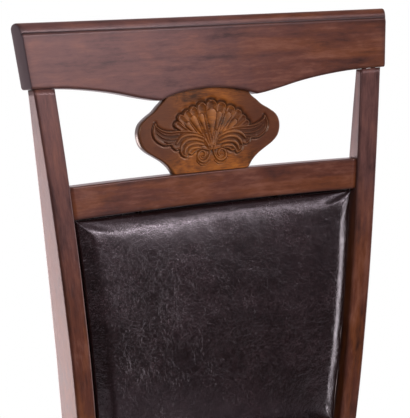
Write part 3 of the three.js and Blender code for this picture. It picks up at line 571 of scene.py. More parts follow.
@dataclass(frozen=True)
class StainedWood(Finish):
    """Walnut stain under a half-gloss lacquer, plum where it is cool and russet where it is warm."""

    dark: Colour = srgb(32, 17, 16)
    plum: Colour = srgb(92, 58, 54)
    russet: Colour = srgb(86, 44, 30)
    amber: Colour = srgb(108, 57, 25)
    light: Colour = srgb(140, 90, 74)
    # Dark brown along the rounded edges, and painted shade in the crease under the crest's sloping top.
    glaze: Colour = srgb(28, 15, 15)
    # End grain's darker colour, greyed by a painted reflection of the bright surroundings.
    end_grain: Colour = srgb(64, 54, 60)
    sheen: Colour = (1.0, 0.66, 0.7)
    roughness: float = 0.33

    def _paint(self, g: Graph) -> None:
        """Adds the nodes, which read the attributes grain, rim, crease, warmth and end.

        Args:
            g: The material's graph.
        """
        grain = g.reading("grain", "Vector")
        wavy = g.warped(grain, (34, 34, 70), (0.0035, 0.0035, 0.0))
        fine = g.noise(wavy, (430, 430, 60), 4.0, 0.68)
        bands = g.noise(wavy, (150, 150, 9))
        clouds = g.noise(grain, (38, 38, 20), 3.0, 0.6, 0.3)
        streaks = g.noise(wavy, (48, 48, 9), 2.0, 0.55, 0.6)
        pores = g.noise(wavy, (1900, 1900, 130), 1.0).step(0.64, 0.76)
        warmth, rim, end = g.reading("warmth"), g.reading("rim"), g.reading("end")
        base = g.blend((warmth + (clouds - 0.5) * 1.3).step(0.05, 0.85), self.plum, self.russet)
        warm = g.blend((streaks + warmth * 0.14).step(0.52, 0.72) * warmth * 0.75, base, self.amber)
        tone = (fine - 0.5) * 1.1 + (bands - 0.5) * 1.0 + (clouds - 0.5) * 1.5
        lit = g.blend((tone - 0.02) * 0.9, warm, self.light)
        toned = g.blend((-0.03 - tone) * 1.5 + pores * 0.3, lit, self.dark)
        # Darker along the rounded edges, and painted shade where the crease attribute marks the crest's crease.
        edge = (rim + (clouds - 0.5) * 0.004).step(0.0055, 0.0) * 0.42
        edged_and_crease_shaded = g.blend(edge + g.reading("crease") * 0.8, toned, self.glaze)
        # The crest's ends take that colour: darker end grain with a painted grey reflection.
        colour = g.blend(end * 0.9, edged_and_crease_shaded, self.end_grain)
        rough = (fine - 0.5) * 0.1 + (clouds - 0.5) * 0.14 + pores * 0.1 + end * 0.16 + self.roughness
        height = fine * 0.6 + bands * 0.3 - pores * 0.8
        lacquer = {"Coat_Weight": 0.1, "Coat_Roughness": 0.2, "Specular_Tint": (*self.sheen, 1.0)}
        g.finish(colour, rough, height, 0.0001, 0.5, **lacquer)


@dataclass(frozen=True)
class CarvedWood(Finish):
    """Golden stain on the medallion, with painted shade at its sides and in the carving's grooves, darker on its side
    walls, and a painted highlight on its raised parts and rims.
    """

    dark: Colour = srgb(50, 24, 14)
    body: Colour = srgb(118, 62, 22)
    light: Colour = srgb(164, 94, 30)
    shade: Colour = srgb(78, 38, 26)
    # Painted shade in the carving's grooves; the same brown darkens the plate's side walls.
    groove: Colour = srgb(30, 15, 11)
    # Painted highlight on the carving's raised parts and along its rims.
    rubbed: Colour = srgb(160, 112, 78)
    sheen: Colour = (1.0, 0.64, 0.46)
    roughness: float = 0.34

    def _paint(self, g: Graph) -> None:
        """Adds the nodes, which read the attributes grain, rim, relief, sidedness and wall.

        Args:
            g: The material's graph.
        """
        grain = g.reading("grain", "Vector")
        wavy = g.warped(grain, (30, 30, 50), (0.004, 0.004, 0.0))
        fine = g.noise(wavy, (1000, 1000, 80), 3.0, 0.6)
        clouds = g.noise(grain, (48, 48, 30), 3.0, 0.6, 0.5)
        tone = (fine - 0.5) * 0.7 + (clouds - 0.5) * 1.3 + 0.5
        gold = tone.ramp((0.2, self.dark), (0.5, self.body), (0.8, self.light))
        sides = (g.reading("sidedness") + (clouds - 0.5) * 0.8).step(0.3, 0.85)
        wood = g.blend(sides * 0.85, gold, self.shade)
        relief, rim = g.reading("relief"), g.reading("rim") + (clouds - 0.5) * 0.002
        # Painted shade in the sunk grooves.
        sunk = g.blend(relief.step(-0.15, -1.0) * 0.7, wood, self.groove)
        # Painted highlight on the raised relief and along the rims.
        lit = g.blend(relief.step(0.45, 1.3) * 0.26 + rim.step(0.003, 0.0008) * 0.22, sunk, self.rubbed)
        # Darker on the plate's side walls and rear.
        colour = g.blend(g.reading("wall") * 0.8, lit, self.groove)
        rough = (fine - 0.5) * 0.1 + (clouds - 0.5) * 0.14 + self.roughness
        lacquer = {"Coat_Weight": 0.15, "Coat_Roughness": 0.2, "Specular_Tint": (*self.sheen, 1.0)}
        g.finish(colour, rough, fine, 0.0001, 0.5, **lacquer)


@dataclass(frozen=True)
class Leatherette(Finish):
    """Espresso-brown leatherette with a fine, faintly creased surface."""

    deep: Colour = srgb(15, 8, 9)
    body: Colour = srgb(27, 16, 17)
    rubbed: Colour = srgb(44, 28, 31)
    crease: Colour = srgb(70, 54, 58)
    sheen: Colour = (1.0, 0.85, 0.96)
    roughness: float = 0.22

    def _paint(self, g: Graph) -> None:
        """Adds the nodes, which read Object coordinates.

        Args:
            g: The material's graph.
        """
        place = g.place()
        loose = g.warped(place, 30.0, 0.02)
        clouds = g.noise(place, 16.0, 3.0, 0.6, 0.5)
        mottle = g.noise(loose, 150.0, 4.0, 0.65)
        pebble = g.noise(place, 560.0, 3.0, 0.7)
        creases, wrinkles = self._creases(g, loose, 75.0, 0.05), self._creases(g, loose, 210.0, 0.1)
        shown = clouds.step(0.42, 0.68)
        tone = (mottle - 0.5) * 0.9 + (clouds - 0.5) * 0.6 + (pebble - 0.5) * 1.1 + 0.5
        base = tone.ramp((0.15, self.deep), (0.5, self.body), (0.95, self.rubbed))
        colour = g.blend(creases * shown * 0.2 + wrinkles * shown * 0.2, base, self.crease)
        rough = (mottle - 0.5) * 0.1 + (pebble - 0.5) * 0.22 + shown * 0.03 + self.roughness
        height = mottle * 0.4 + pebble * 0.5 - creases * 0.25 - wrinkles * 0.25
        shine = {"Specular_IOR_Level": 0.9, "Specular_Tint": (*self.sheen, 1.0)}
        g.finish(colour, rough, height, 0.0005, 0.5, **shine)

    def _creases(self, g: Graph, vector: Shade, waves: float, width: float) -> Shade:
        """Fine winding lines, 1 on them, whose width is a share of a wave."""
        wave = g.noise(vector, waves, 2.0, 0.55, 0.6) - 0.5
        return g.node("Math", {"operation": "ABSOLUTE"}, wave).step(width * 0.6, 0.0)


@dataclass(frozen=True)
class RawWood(Finish):
    """Bare hardwood of blocks and dowels."""

    light: Colour = srgb(160, 126, 88)
    dark: Colour = srgb(118, 86, 56)
    roughness: float = 0.62

    def _paint(self, g: Graph) -> None:
        """Adds the nodes, which read Object coordinates.

        Args:
            g: The material's graph.
        """
        place = g.warped(g.place(), 30.0, 0.004)
        rings = g.noise(place, (30, 420, 420), 3.0, 0.6)
        pores = g.noise(place, (120, 2400, 2400), 1.0).step(0.62, 0.75)
        colour = g.blend(pores * 0.5, rings.ramp((0.3, self.dark), (0.7, self.light)), self.dark)
        g.finish(colour, (rings - 0.5) * 0.15 + self.roughness, rings - pores, 0.0001, 0.5)


@dataclass(frozen=True)
class Plywood(Finish):
    """Rotary-cut plywood with its plies showing at the edges."""

    face: Colour = srgb(196, 162, 116)
    dark: Colour = srgb(138, 102, 64)
    ply: float = 1.5 * MM
    roughness: float = 0.7

    def _paint(self, g: Graph) -> None:
        """Adds the nodes, which read Object coordinates.

        Args:
            g: The material's graph.
        """
        figure = g.noise(g.place(), (9, 60, 60), 4.0, 0.6, 1.2)
        wave = g.node("Math", {"operation": "SINE"}, g.along("Z") * (math.pi / self.ply)).step(0.2, 0.5)
        colour = g.blend(wave * 0.35, figure.ramp((0.35, self.dark), (0.65, self.face)), self.dark)
        g.finish(colour, (figure - 0.5) * 0.2 + self.roughness, figure, 0.0002, 0.4)


@dataclass(frozen=True)
class DustCloth(Finish):
    """Black non-woven cloth with its small pressed dots."""

    fibre: Colour = srgb(34, 34, 37)
    pressed: Colour = srgb(18, 18, 20)
    dots: float = 420.0
    roughness: float = 0.9

    def _paint(self, g: Graph) -> None:
        """Adds the nodes, which read Object coordinates.

        Args:
            g: The material's graph.
        """
        place = g.place()
        near = g.node("TexVoronoi", {}, place, output="Distance", Scale=self.dots, Randomness=0.15)
        dot, fluff = near.step(0.42, 0.28), g.noise(place, 900.0, 3.0, 0.7)
        colour = g.blend(dot, g.blend(fluff, self.pressed, self.fibre), self.pressed)
        g.finish(colour, dot * -0.25 + self.roughness, fluff * 0.5 - dot * 0.6, 0.0002, 0.6)


@dataclass(frozen=True)
class ZincedSteel(Finish):
    """Zinc-plated steel of screws, bolts and staples."""

    plate: Colour = srgb(176, 178, 182)
    dull: Colour = srgb(128, 130, 136)
    roughness: float = 0.36

    def _paint(self, g: Graph) -> None:
        """Adds the nodes, which read Object coordinates.

        Args:
            g: The material's graph.
        """
        cloud = g.noise(g.place(), 500.0, 3.0, 0.6)
        colour = cloud.ramp((0.35, self.dull), (0.65, self.plate))
        g.finish(colour, (cloud - 0.5) * 0.3 + self.roughness, cloud, 0.00005, 0.4, Metallic=0.95)


@dataclass(frozen=True)
class GlidePlastic(Finish):
    """Dark moulded plastic of the floor glides, scuffed where it stands."""

    body: Colour = srgb(30, 29, 30)
    scuffed: Colour = srgb(66, 64, 62)
    roughness: float = 0.5

    def _paint(self, g: Graph) -> None:
        """Adds the nodes, which read Object coordinates.

        Args:
            g: The material's graph.
        """
        place = g.place()
        scuff = g.noise(place, (160, 900, 160), 3.0, 0.6).step(0.45, 0.7) * g.along("Z").step(0.0012, 0.0)
        colour = g.blend(scuff, self.body, self.scuffed)
        g.finish(colour, scuff * 0.25 + self.roughness, g.noise(place, 2400.0, 1.0), 0.00005, 0.5)


class Finishes:
    """The finishes by the slots that they belong to."""

    def __init__(self) -> None:
        """Builds each material once."""
        kinds = (StainedWood, CarvedWood, Leatherette, Plywood, RawWood, DustCloth, ZincedSteel, GlidePlastic)
        self.materials = {slot: kind().build(slot.value) for slot, kind in zip(Slot, kinds)}
        self.stained_pin = RawWood(srgb(52, 34, 27), srgb(34, 21, 18)).build("stained_pin")

    def dress(self, piece: bpy.types.Object, slot: Slot, *nodes: str) -> bpy.types.Object:
        """Gives a new piece its finish and its place in the frame.

        Args:
            piece: The finished object.
            slot: The slot that it takes its finish from.
            *nodes: CAD nodes that it stands for.

        Returns:
            The piece.
        """
        piece.data.materials.clear()
        piece.data.materials.append(self.materials[slot])
        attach(piece, BODY)
        if nodes:
            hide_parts(*nodes)
        log.info("%s: %d faces, %s", piece.name, len(piece.data.polygons), slot.value)
        return piece

    def keep(self, node: str, slot: Slot) -> None:
        """Gives a CAD node that stays its finish: the pad's pins are stained, for their gap shows them.

        Args:
            node: Name of the node.
            slot: The slot that it takes its finish from.
        """
        shown = frame["nodes"][node]
        material = self.stained_pin if node.startswith("pad_pin_") else self.materials[slot]
        if not shown.data.materials:
            shown.data.materials.append(material)
        for place in shown.material_slots:
            place.material = material
        log.info("%s stays, %s", node, slot.value)


# The chair's own frames


@dataclass(frozen=True)
class RearLegLine:
    """How the rear legs run: up from the floor, and on as the back's uprights."""

    top: float = 940 * MM
    pitch: float = math.radians(7.5)
    sweep: float = 35.5 * MM
    setback: float = 3.8 * MM
    half_spread: float = 221.4 * MM
    width_top: float = 25.9 * MM
    width_seat: float = 23 * MM
    depth: float = 40 * MM
    toe_in: float = math.radians(9.4)
    edge: float = 2.2 * MM
    curve: Curve = Curve((
        (0, -0.68, 0.66, 0.804), (0.16, 0.107, 0.775, 0.795), (0.319, 0.7, 0.9, 0.797), (0.457, 0.955, 1, 0.811),
        (0.511, 0.98, 0.958, 0.823), (0.553, 0.997, 0.94, 0.835), (0.59, 1, 0.935, 0.847),
        (0.628, 0.983, 0.925, 0.859), (0.681, 0.932, 0.895, 0.876), (0.734, 0.845, 0.85, 0.895),
        (0.787, 0.727, 0.79, 0.914), (0.84, 0.58, 0.712, 0.934), (0.894, 0.408, 0.62, 0.955),
        (0.947, 0.214, 0.51, 0.977), (1, 0, 0.367, 1), (1.02, -0.087, 0.333, 1.01),
    ))

    def section(self, height: Array | float) -> tuple[Array, ...]:
        """The section at a height on the right.

        Args:
            height: Height above the floor.

        Returns:
            Place of the front outer corner across and from front to back, width and depth.
        """
        share = np.asarray(height, float) / self.top
        width_share = np.clip(share, 0.5, 1) * 2 - 1
        return (
            self.half_spread * self.curve.at(share, 3),
            self.setback - self.sweep * self.curve.at(share, 1),
            mix(self.width_seat, self.width_top, width_share),
            self.depth * self.curve.at(share, 2),
        )

    def point(self, side: Side, height: Array, across: Array, depth: Array) -> Array:
        """Places in the leg, before the chair is centred.

        Args:
            side: Which leg.
            height: Height above the floor.
            across: Distance in from the outer face.
            depth: Distance back from the front face.

        Returns:
            Points by place and axis.
        """
        x, y, _, _ = self.section(height)
        cos, sin = math.cos(self.toe_in), math.sin(self.toe_in)
        return xyz(side.value * (x - across * cos + depth * sin), y + across * sin + depth * cos, height)


class Space:
    """The chair's frame in the row's, and the back's own frame in both."""

    def __init__(self, legs: RearLegLine, seat_height: float, seat_depth: float, rail_middle: float) -> None:
        """Works out where the centred chair stands.

        Args:
            legs: The line of the rear legs.
            seat_height: Height of the seat frame.
            seat_depth: From the rear legs' front to the front legs' front.
            rail_middle: How far the seat rails' middle lies below the seat frame's top.
        """
        self.legs = legs
        corner = legs.point(Side.RIGHT, np.array(seat_height - rail_middle), 0, 0)
        self.rear_corner = corner
        self.front_face = float(corner[1]) - seat_depth
        self.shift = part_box("front_leg_left")[0].y - self.front_face

    def to_row(self, points: Array) -> Array:
        """Points of the chair in the row's frame."""
        return points + np.array([0, self.shift, 0])

    def from_back(self, points: Array) -> Array:
        """Points of the back's frame in the chair's frame."""
        cos, sin = math.cos(self.legs.pitch), math.sin(self.legs.pitch)
        x, y, z = points[..., 0], points[..., 1], points[..., 2]
        return xyz(x, y * cos + z * sin, -y * sin + z * cos + self.legs.top)

    def back_to_row(self, points: Array) -> Array:
        """Points of the back's frame in the row's frame."""
        return self.to_row(self.from_back(points))

    def to_back(self, points: Array) -> Array:
        """Points of the chair in the back's frame."""
        cos, sin = math.cos(self.legs.pitch), math.sin(self.legs.pitch)
        x, y, z = points[..., 0], points[..., 1], points[..., 2] - self.legs.top
        return xyz(x, y * cos - z * sin, y * sin + z * cos)


def grain_of(across: Array, depth: Array, along: Array, seed: float) -> Array:
    """Grain coordinates of a piece of wood, moved by its own seed so that no two pieces are alike."""
    return xyz(across + 0.37 * seed, depth + 0.23 * seed, along + 0.71 * seed)


# Wooden pieces


@dataclass
class RearLegs:
    """The two rear legs with their upright tops."""

    space: Space
    finishes: Finishes
    glide_height: float = 4 * MM
    stations: int = 150

    def build(self, crest: "CrestRail") -> None:
        """Builds and dresses both legs, each cut off under the crest rail."""
        for seed, side in enumerate(Side):
            piece = self._shell(side, crest, 1.0 + seed).build(f"rear_leg_{side.word}_turned")
            self.finishes.dress(piece, Slot.STAINED_WOOD, f"rear_leg_{side.word}")

    def _shell(self, side: Side, crest: "CrestRail", seed: float) -> Shell:
        """One leg.

        Args:
            side: Which leg.
            crest: The rail that closes it above.
            seed: Where its grain lies.

        Returns:
            The closed shell.
        """
        legs = self.space.legs
        _, _, width, depth = legs.section(legs.top)
        ring = rounded_ring(float(width), float(depth), legs.edge)
        tops = self._tops(side, crest, ring.points)
        rows = []
        for share in np.linspace(0, 1, self.stations):
            heights = mix(self.glide_height, tops, share)
            _, _, width, depth = legs.section(float(heights.mean()))
            ring = rounded_ring(float(width), float(depth), legs.edge)
            u, v = ring.points.T
            warmth = smooth(legs.top, 0.6 * legs.top, heights)
            rows.append((legs.point(side, heights, u, v), grain_of(u, v, heights, seed), warmth))
        points, grain, warmth = map(np.array, zip(*rows))
        return loft(self.space.to_row(points), grain=grain, rim=np.tile(ring.rim, (self.stations, 1)), warmth=warmth)

    def _tops(self, side: Side, crest: "CrestRail", points: Array) -> Array:
        """Heights at which the lines of the leg meet the crest rail's underside.

        Args:
            side: Which leg.
            crest: The rail above it.
            points: Places of the lines in the leg's section.

        Returns:
            One height for each line.
        """
        legs = self.space.legs
        heights = np.full(len(points), legs.top)
        for _ in range(FIT_ROUNDS):
            places = self.space.to_back(legs.point(side, heights, points[:, 0], points[:, 1]))
            heights = heights + crest.clearance(places) / math.cos(legs.pitch)
        return heights


@dataclass
class CrestRail:
    """The bent rail on top of the back, with its sloping top and notched lower edge."""

    space: Space
    finishes: Finishes
    width: float = 450 * MM
    flare: float = 7 * MM
    face_height: float = 58.4 * MM
    top_rise: float = 11 * MM
    rear_fall: float = 5 * MM
    ridge: float = 10.2 * MM
    thickness: float = 17.6 * MM
    tilt: float = math.radians(3.06)
    bend_radius: float = 900 * MM
    arch_drop: float = 12.3 * MM
    notch_drop: float = 22.9 * MM
    notch_half: float = 63 * MM
    arch_power: float = 2.2
    edge_radius: float = 2.5 * MM
    end_radius: float = 1.2 * MM
    corner_radius: float = 2.5 * MM
    end_slant: float = math.radians(17)
    lip_radius: float = 4 * MM
    lip_depth: float = 0.9 * MM
    crease_depth: float = 0.7 * MM
    lower_edge: Curve = Curve(
        ((0, 1), (0.055, 0.95), (0.17, 0.785), (0.34, 0.5), (0.5, 0.295), (0.68, 0.13), (0.82, 0.06), (1, 0.015))
    )

    def drop(self, x: Array) -> Array:
        """How far the lower edge hangs below its ends at places along the rail.

        Args:
            x: Places along the rail.

        Returns:
            The drops.
        """
        out = np.abs(np.asarray(x, float))
        arch = np.clip(out / self.notch_half, 0, 1) ** self.arch_power
        inside = self.arch_drop + (self.notch_drop - self.arch_drop) * arch
        share = (out - self.notch_half) / (self.width / 2 - self.notch_half)
        outside = self.notch_drop * self.lower_edge.at(np.clip(share, 0, 1))
        return np.where(out < self.notch_half, inside, outside)

    def _sag(self, x: Array) -> Array:
        """How far the bent rail lies behind the line of its ends."""
        return ((self.width / 2) ** 2 - np.asarray(x, float) ** 2) / (2 * self.bend_radius)

    def point(self, x: Array, up: Array, depth: Array) -> Array:
        """Places in the rail in the back's frame: along it, up its face and back from its face.

        Args:
            x: Places along the rail.
            up: Heights up its face.
            depth: Distances back from its face.

        Returns:
            Points by place and axis.
        """
        rise = up * math.cos(self.tilt)
        flare = (2 * self.flare / self.width) * (rise / (self.face_height + self.top_rise))
        y = up * math.sin(self.tilt) + depth * math.cos(self.tilt) + self._sag(x)
        slant = depth * math.tan(self.end_slant) * (2 * x / self.width) ** 3
        return xyz(x * (1 + flare) + slant, y, rise - depth * math.sin(self.tilt))

    def clearance(self, places: Array) -> Array:
        """How far places of the back's frame lie below the rail's underside, with its glue line.

        Args:
            places: Points by place and axis.

        Returns:
            The distances.
        """
        x, y, z = places[..., 0], places[..., 1], places[..., 2]
        x = x - (y - self._sag(x)) * math.tan(self.end_slant) * (2 * x / self.width) ** 3
        up = z * math.cos(self.tilt) + (y - self._sag(x)) * math.sin(self.tilt)
        return -self.drop(x) - GLUE_LINE - up

    def build(self) -> None:
        """Builds and dresses the rail."""
        half = self.width / 2
        ends = np.array([0, 0.05, 0.15, 0.35, 0.6, 0.9, 1.2, 1.7, 2.5, 3.5, 5.5, 9]) * MM
        inner = np.linspace(half - 14 * MM, 0, 52)
        kink = np.array([-1.2, -0.4, 0, 0.4, 1.2]) * MM + self.notch_half
        stations = np.unique(np.concatenate([half - ends, inner, kink]).round(6))
        stations = np.unique(np.concatenate([-stations, stations]))
        rows = []
        for x in stations:
            ring, crease = self._section(float(x))
            depth, up = ring.points.T
            rim = np.minimum(ring.rim, max(half - abs(x) - self.end_radius, 0))
            rows.append((self.point(x, up, depth), grain_of(up, depth, x, 3.3), rim, crease))
        points, grain, rim, crease = map(np.array, zip(*rows))
        across = stations[:, None] * np.ones_like(rim)
        # Plum on the left, russet to the right; the plum partly paints the pinkish sheen that light lays on the crest's
        # left.
        warmth = 0.12 + 0.8 * smooth(-0.06, 0.19, across)
        end = smooth(half - self.end_radius, half - 0.1 * self.end_radius, np.abs(across))
        shell = loft(self.space.back_to_row(points), grain=grain, rim=rim, crease=crease, warmth=warmth, end=end)
        self.finishes.dress(shell.build("crest_rail_shaped"), Slot.STAINED_WOOD, "crest_rail")

    def _section(self, x: float) -> tuple[Ring, Array]:
        """The section at a place along the rail, drawn in near the ends.

        Args:
            x: Place along the rail.

        Returns:
            The ring of depths and heights, and how much painted shade each point takes in the crease under the sloping
            top.
        """
        from_end = self.width / 2 - abs(x)
        inset = float(round_off(np.array(from_end), self.end_radius))
        low = -float(self.drop(np.array(x))) + inset
        high = self.face_height - float(round_off(np.array(from_end), self.corner_radius)) - inset
        near, far, r = inset, self.thickness - inset, self.edge_radius
        rear = high + self.top_rise - self.rear_fall
        outline = Outline()
        points = outline.points
        outline.arc(near + r, low + r, r, math.pi)
        outline.run((far - r, low))
        outline.arc(far - r, low + r, r, 1.5 * math.pi)
        outline.run((far, rear))
        for turn in np.linspace(0, 0.5 * math.pi, 9)[:-1]:
            points.append((mix(self.ridge, far, math.cos(turn)), rear + self.rear_fall * math.sin(turn)))
        foot = near + self.lip_depth + self.crease_depth
        for turn in np.linspace(0.5 * math.pi, 0, 15):
            points.append((mix(self.ridge, foot, math.cos(turn)), high + self.top_rise * math.sin(turn)))
        crease_at = len(points)
        points.append((foot - 0.25 * MM, high - 0.7 * self.crease_depth))
        points.append((near + self.lip_depth, high - self.crease_depth))
        outline.edges.append(len(points) + 2)
        start = math.acos(self.lip_depth / self.lip_radius - 1)
        for angle in np.linspace(start, math.pi, 7):
            up = high - self.crease_depth - self.lip_radius * (math.sin(start) - math.sin(angle))
            points.append((near + self.lip_radius * (1 + math.cos(angle)), up - 0.2 * MM))
        outline.run((near, low + r))
        # Painted shade in the crease under the sloping top, darkest at the crease itself.
        crease = np.zeros(len(points))
        crease[crease_at - 3 : crease_at + 2] = (0.25, 0.55, 0.85, 1.0, 0.8)
        return outline.ring(), crease


@dataclass
class BackFace:
    """The bowed front that the back's rails and pad share, before any setback."""

    space: Space
    reveal: float = 2.4 * MM
    bend_radius: float = 820 * MM
    seat_height: float = 415 * MM
    window_height: float = 107.8 * MM

    def __post_init__(self) -> None:
        """Samples the legs' inner front edge in the back's frame."""
        legs = self.space.legs
        heights = np.linspace(self.seat_height, legs.top + 10 * MM, 400)
        _, _, width, _ = legs.section(heights)
        self._edge = self.space.to_back(legs.point(Side.RIGHT, heights, width, np.zeros_like(width)))

    def edge(self, z: Array) -> tuple[Array, Array]:
        """Where the legs' inner front edge lies at heights of the back's frame: across, and back."""
        x = np.interp(z, self._edge[:, 2], self._edge[:, 0])
        return x, np.interp(z, self._edge[:, 2], self._edge[:, 1])

    def front(self, x: Array, z: Array) -> Array:
        """How far back the face lies."""
        edge_x, edge_y = self.edge(z)
        return edge_y + self.reveal + (edge_x**2 - np.asarray(x) ** 2) / (2 * self.bend_radius)

    def reach(self, points: Array) -> Array:
        """Half the clear width between the legs at points of the back's frame, by their depth and height.

        Args:
            points: Points by place and axis.

        Returns:
            The half widths.
        """
        legs = self.space.legs
        cos, sin = math.cos(legs.toe_in), math.sin(legs.toe_in)
        places = self.space.from_back(points)
        x, y, width, _ = legs.section(places[..., 2])
        depth = (places[..., 1] - y - width * sin) / cos
        return x - width * cos + depth * sin


@dataclass
class BackRails:
    """The bent rails above and below the back pad."""

    face: BackFace
    finishes: Finishes
    thickness: float = 21 * MM
    edge: float = 2 * MM
    upper_height: float = 36.2 * MM
    lower_height: float = 26 * MM
    lower_rise: float = 67.4 * MM
    back_height: float = 525 * MM
    stations: int = 61

    @property
    def lower_top(self) -> float:
        """How far the lower rail's top lies below the crest's lower edge."""
        along = self.back_height / math.cos(self.face.space.legs.pitch)
        return along - self.lower_rise - self.lower_height

    def build(self) -> None:
        """Builds and dresses both rails."""
        for name, top, height, seed in (
            ("upper_back_rail", self.face.window_height, self.upper_height, 5.1),
            ("lower_back_rail", self.lower_top, self.lower_height, 6.7),
        ):
            piece = self._shell(top, height, seed).build(f"{name}_bent")
            self.finishes.dress(piece, Slot.STAINED_WOOD, name)

    def _shell(self, top: float, height: float, seed: float) -> Shell:
        """One rail.

        Args:
            top: How far its top lies below the crest's lower edge.
            height: Its height.
            seed: Where its grain lies.

        Returns:
            The closed shell.
        """
        ring = rounded_ring(self.thickness, height, self.edge)
        depth, z = ring.points[:, 0], ring.points[:, 1] - top - height
        face, bend = self.face, 2 * self.face.bend_radius
        front_high, front_low = float(face.front(0, -top)), float(face.front(0, -top - height))
        front = mix(front_low, front_high, (z + top + height) / height)
        reach = np.full(len(z), float(face.edge(-top)[0]))
        for _ in range(FIT_ROUNDS):
            reach = face.reach(xyz(reach, front - reach**2 / bend + depth, z)) - GLUE_LINE
        x = reach * np.linspace(-1, 1, self.stations)[:, None]
        rim = np.tile(ring.rim, (self.stations, 1))
        points = face.space.back_to_row(xyz(x, front - x * x / bend + depth, z))
        return loft(points, grain=grain_of(z, depth, x, seed), rim=rim, warmth=np.full_like(rim, 0.8))


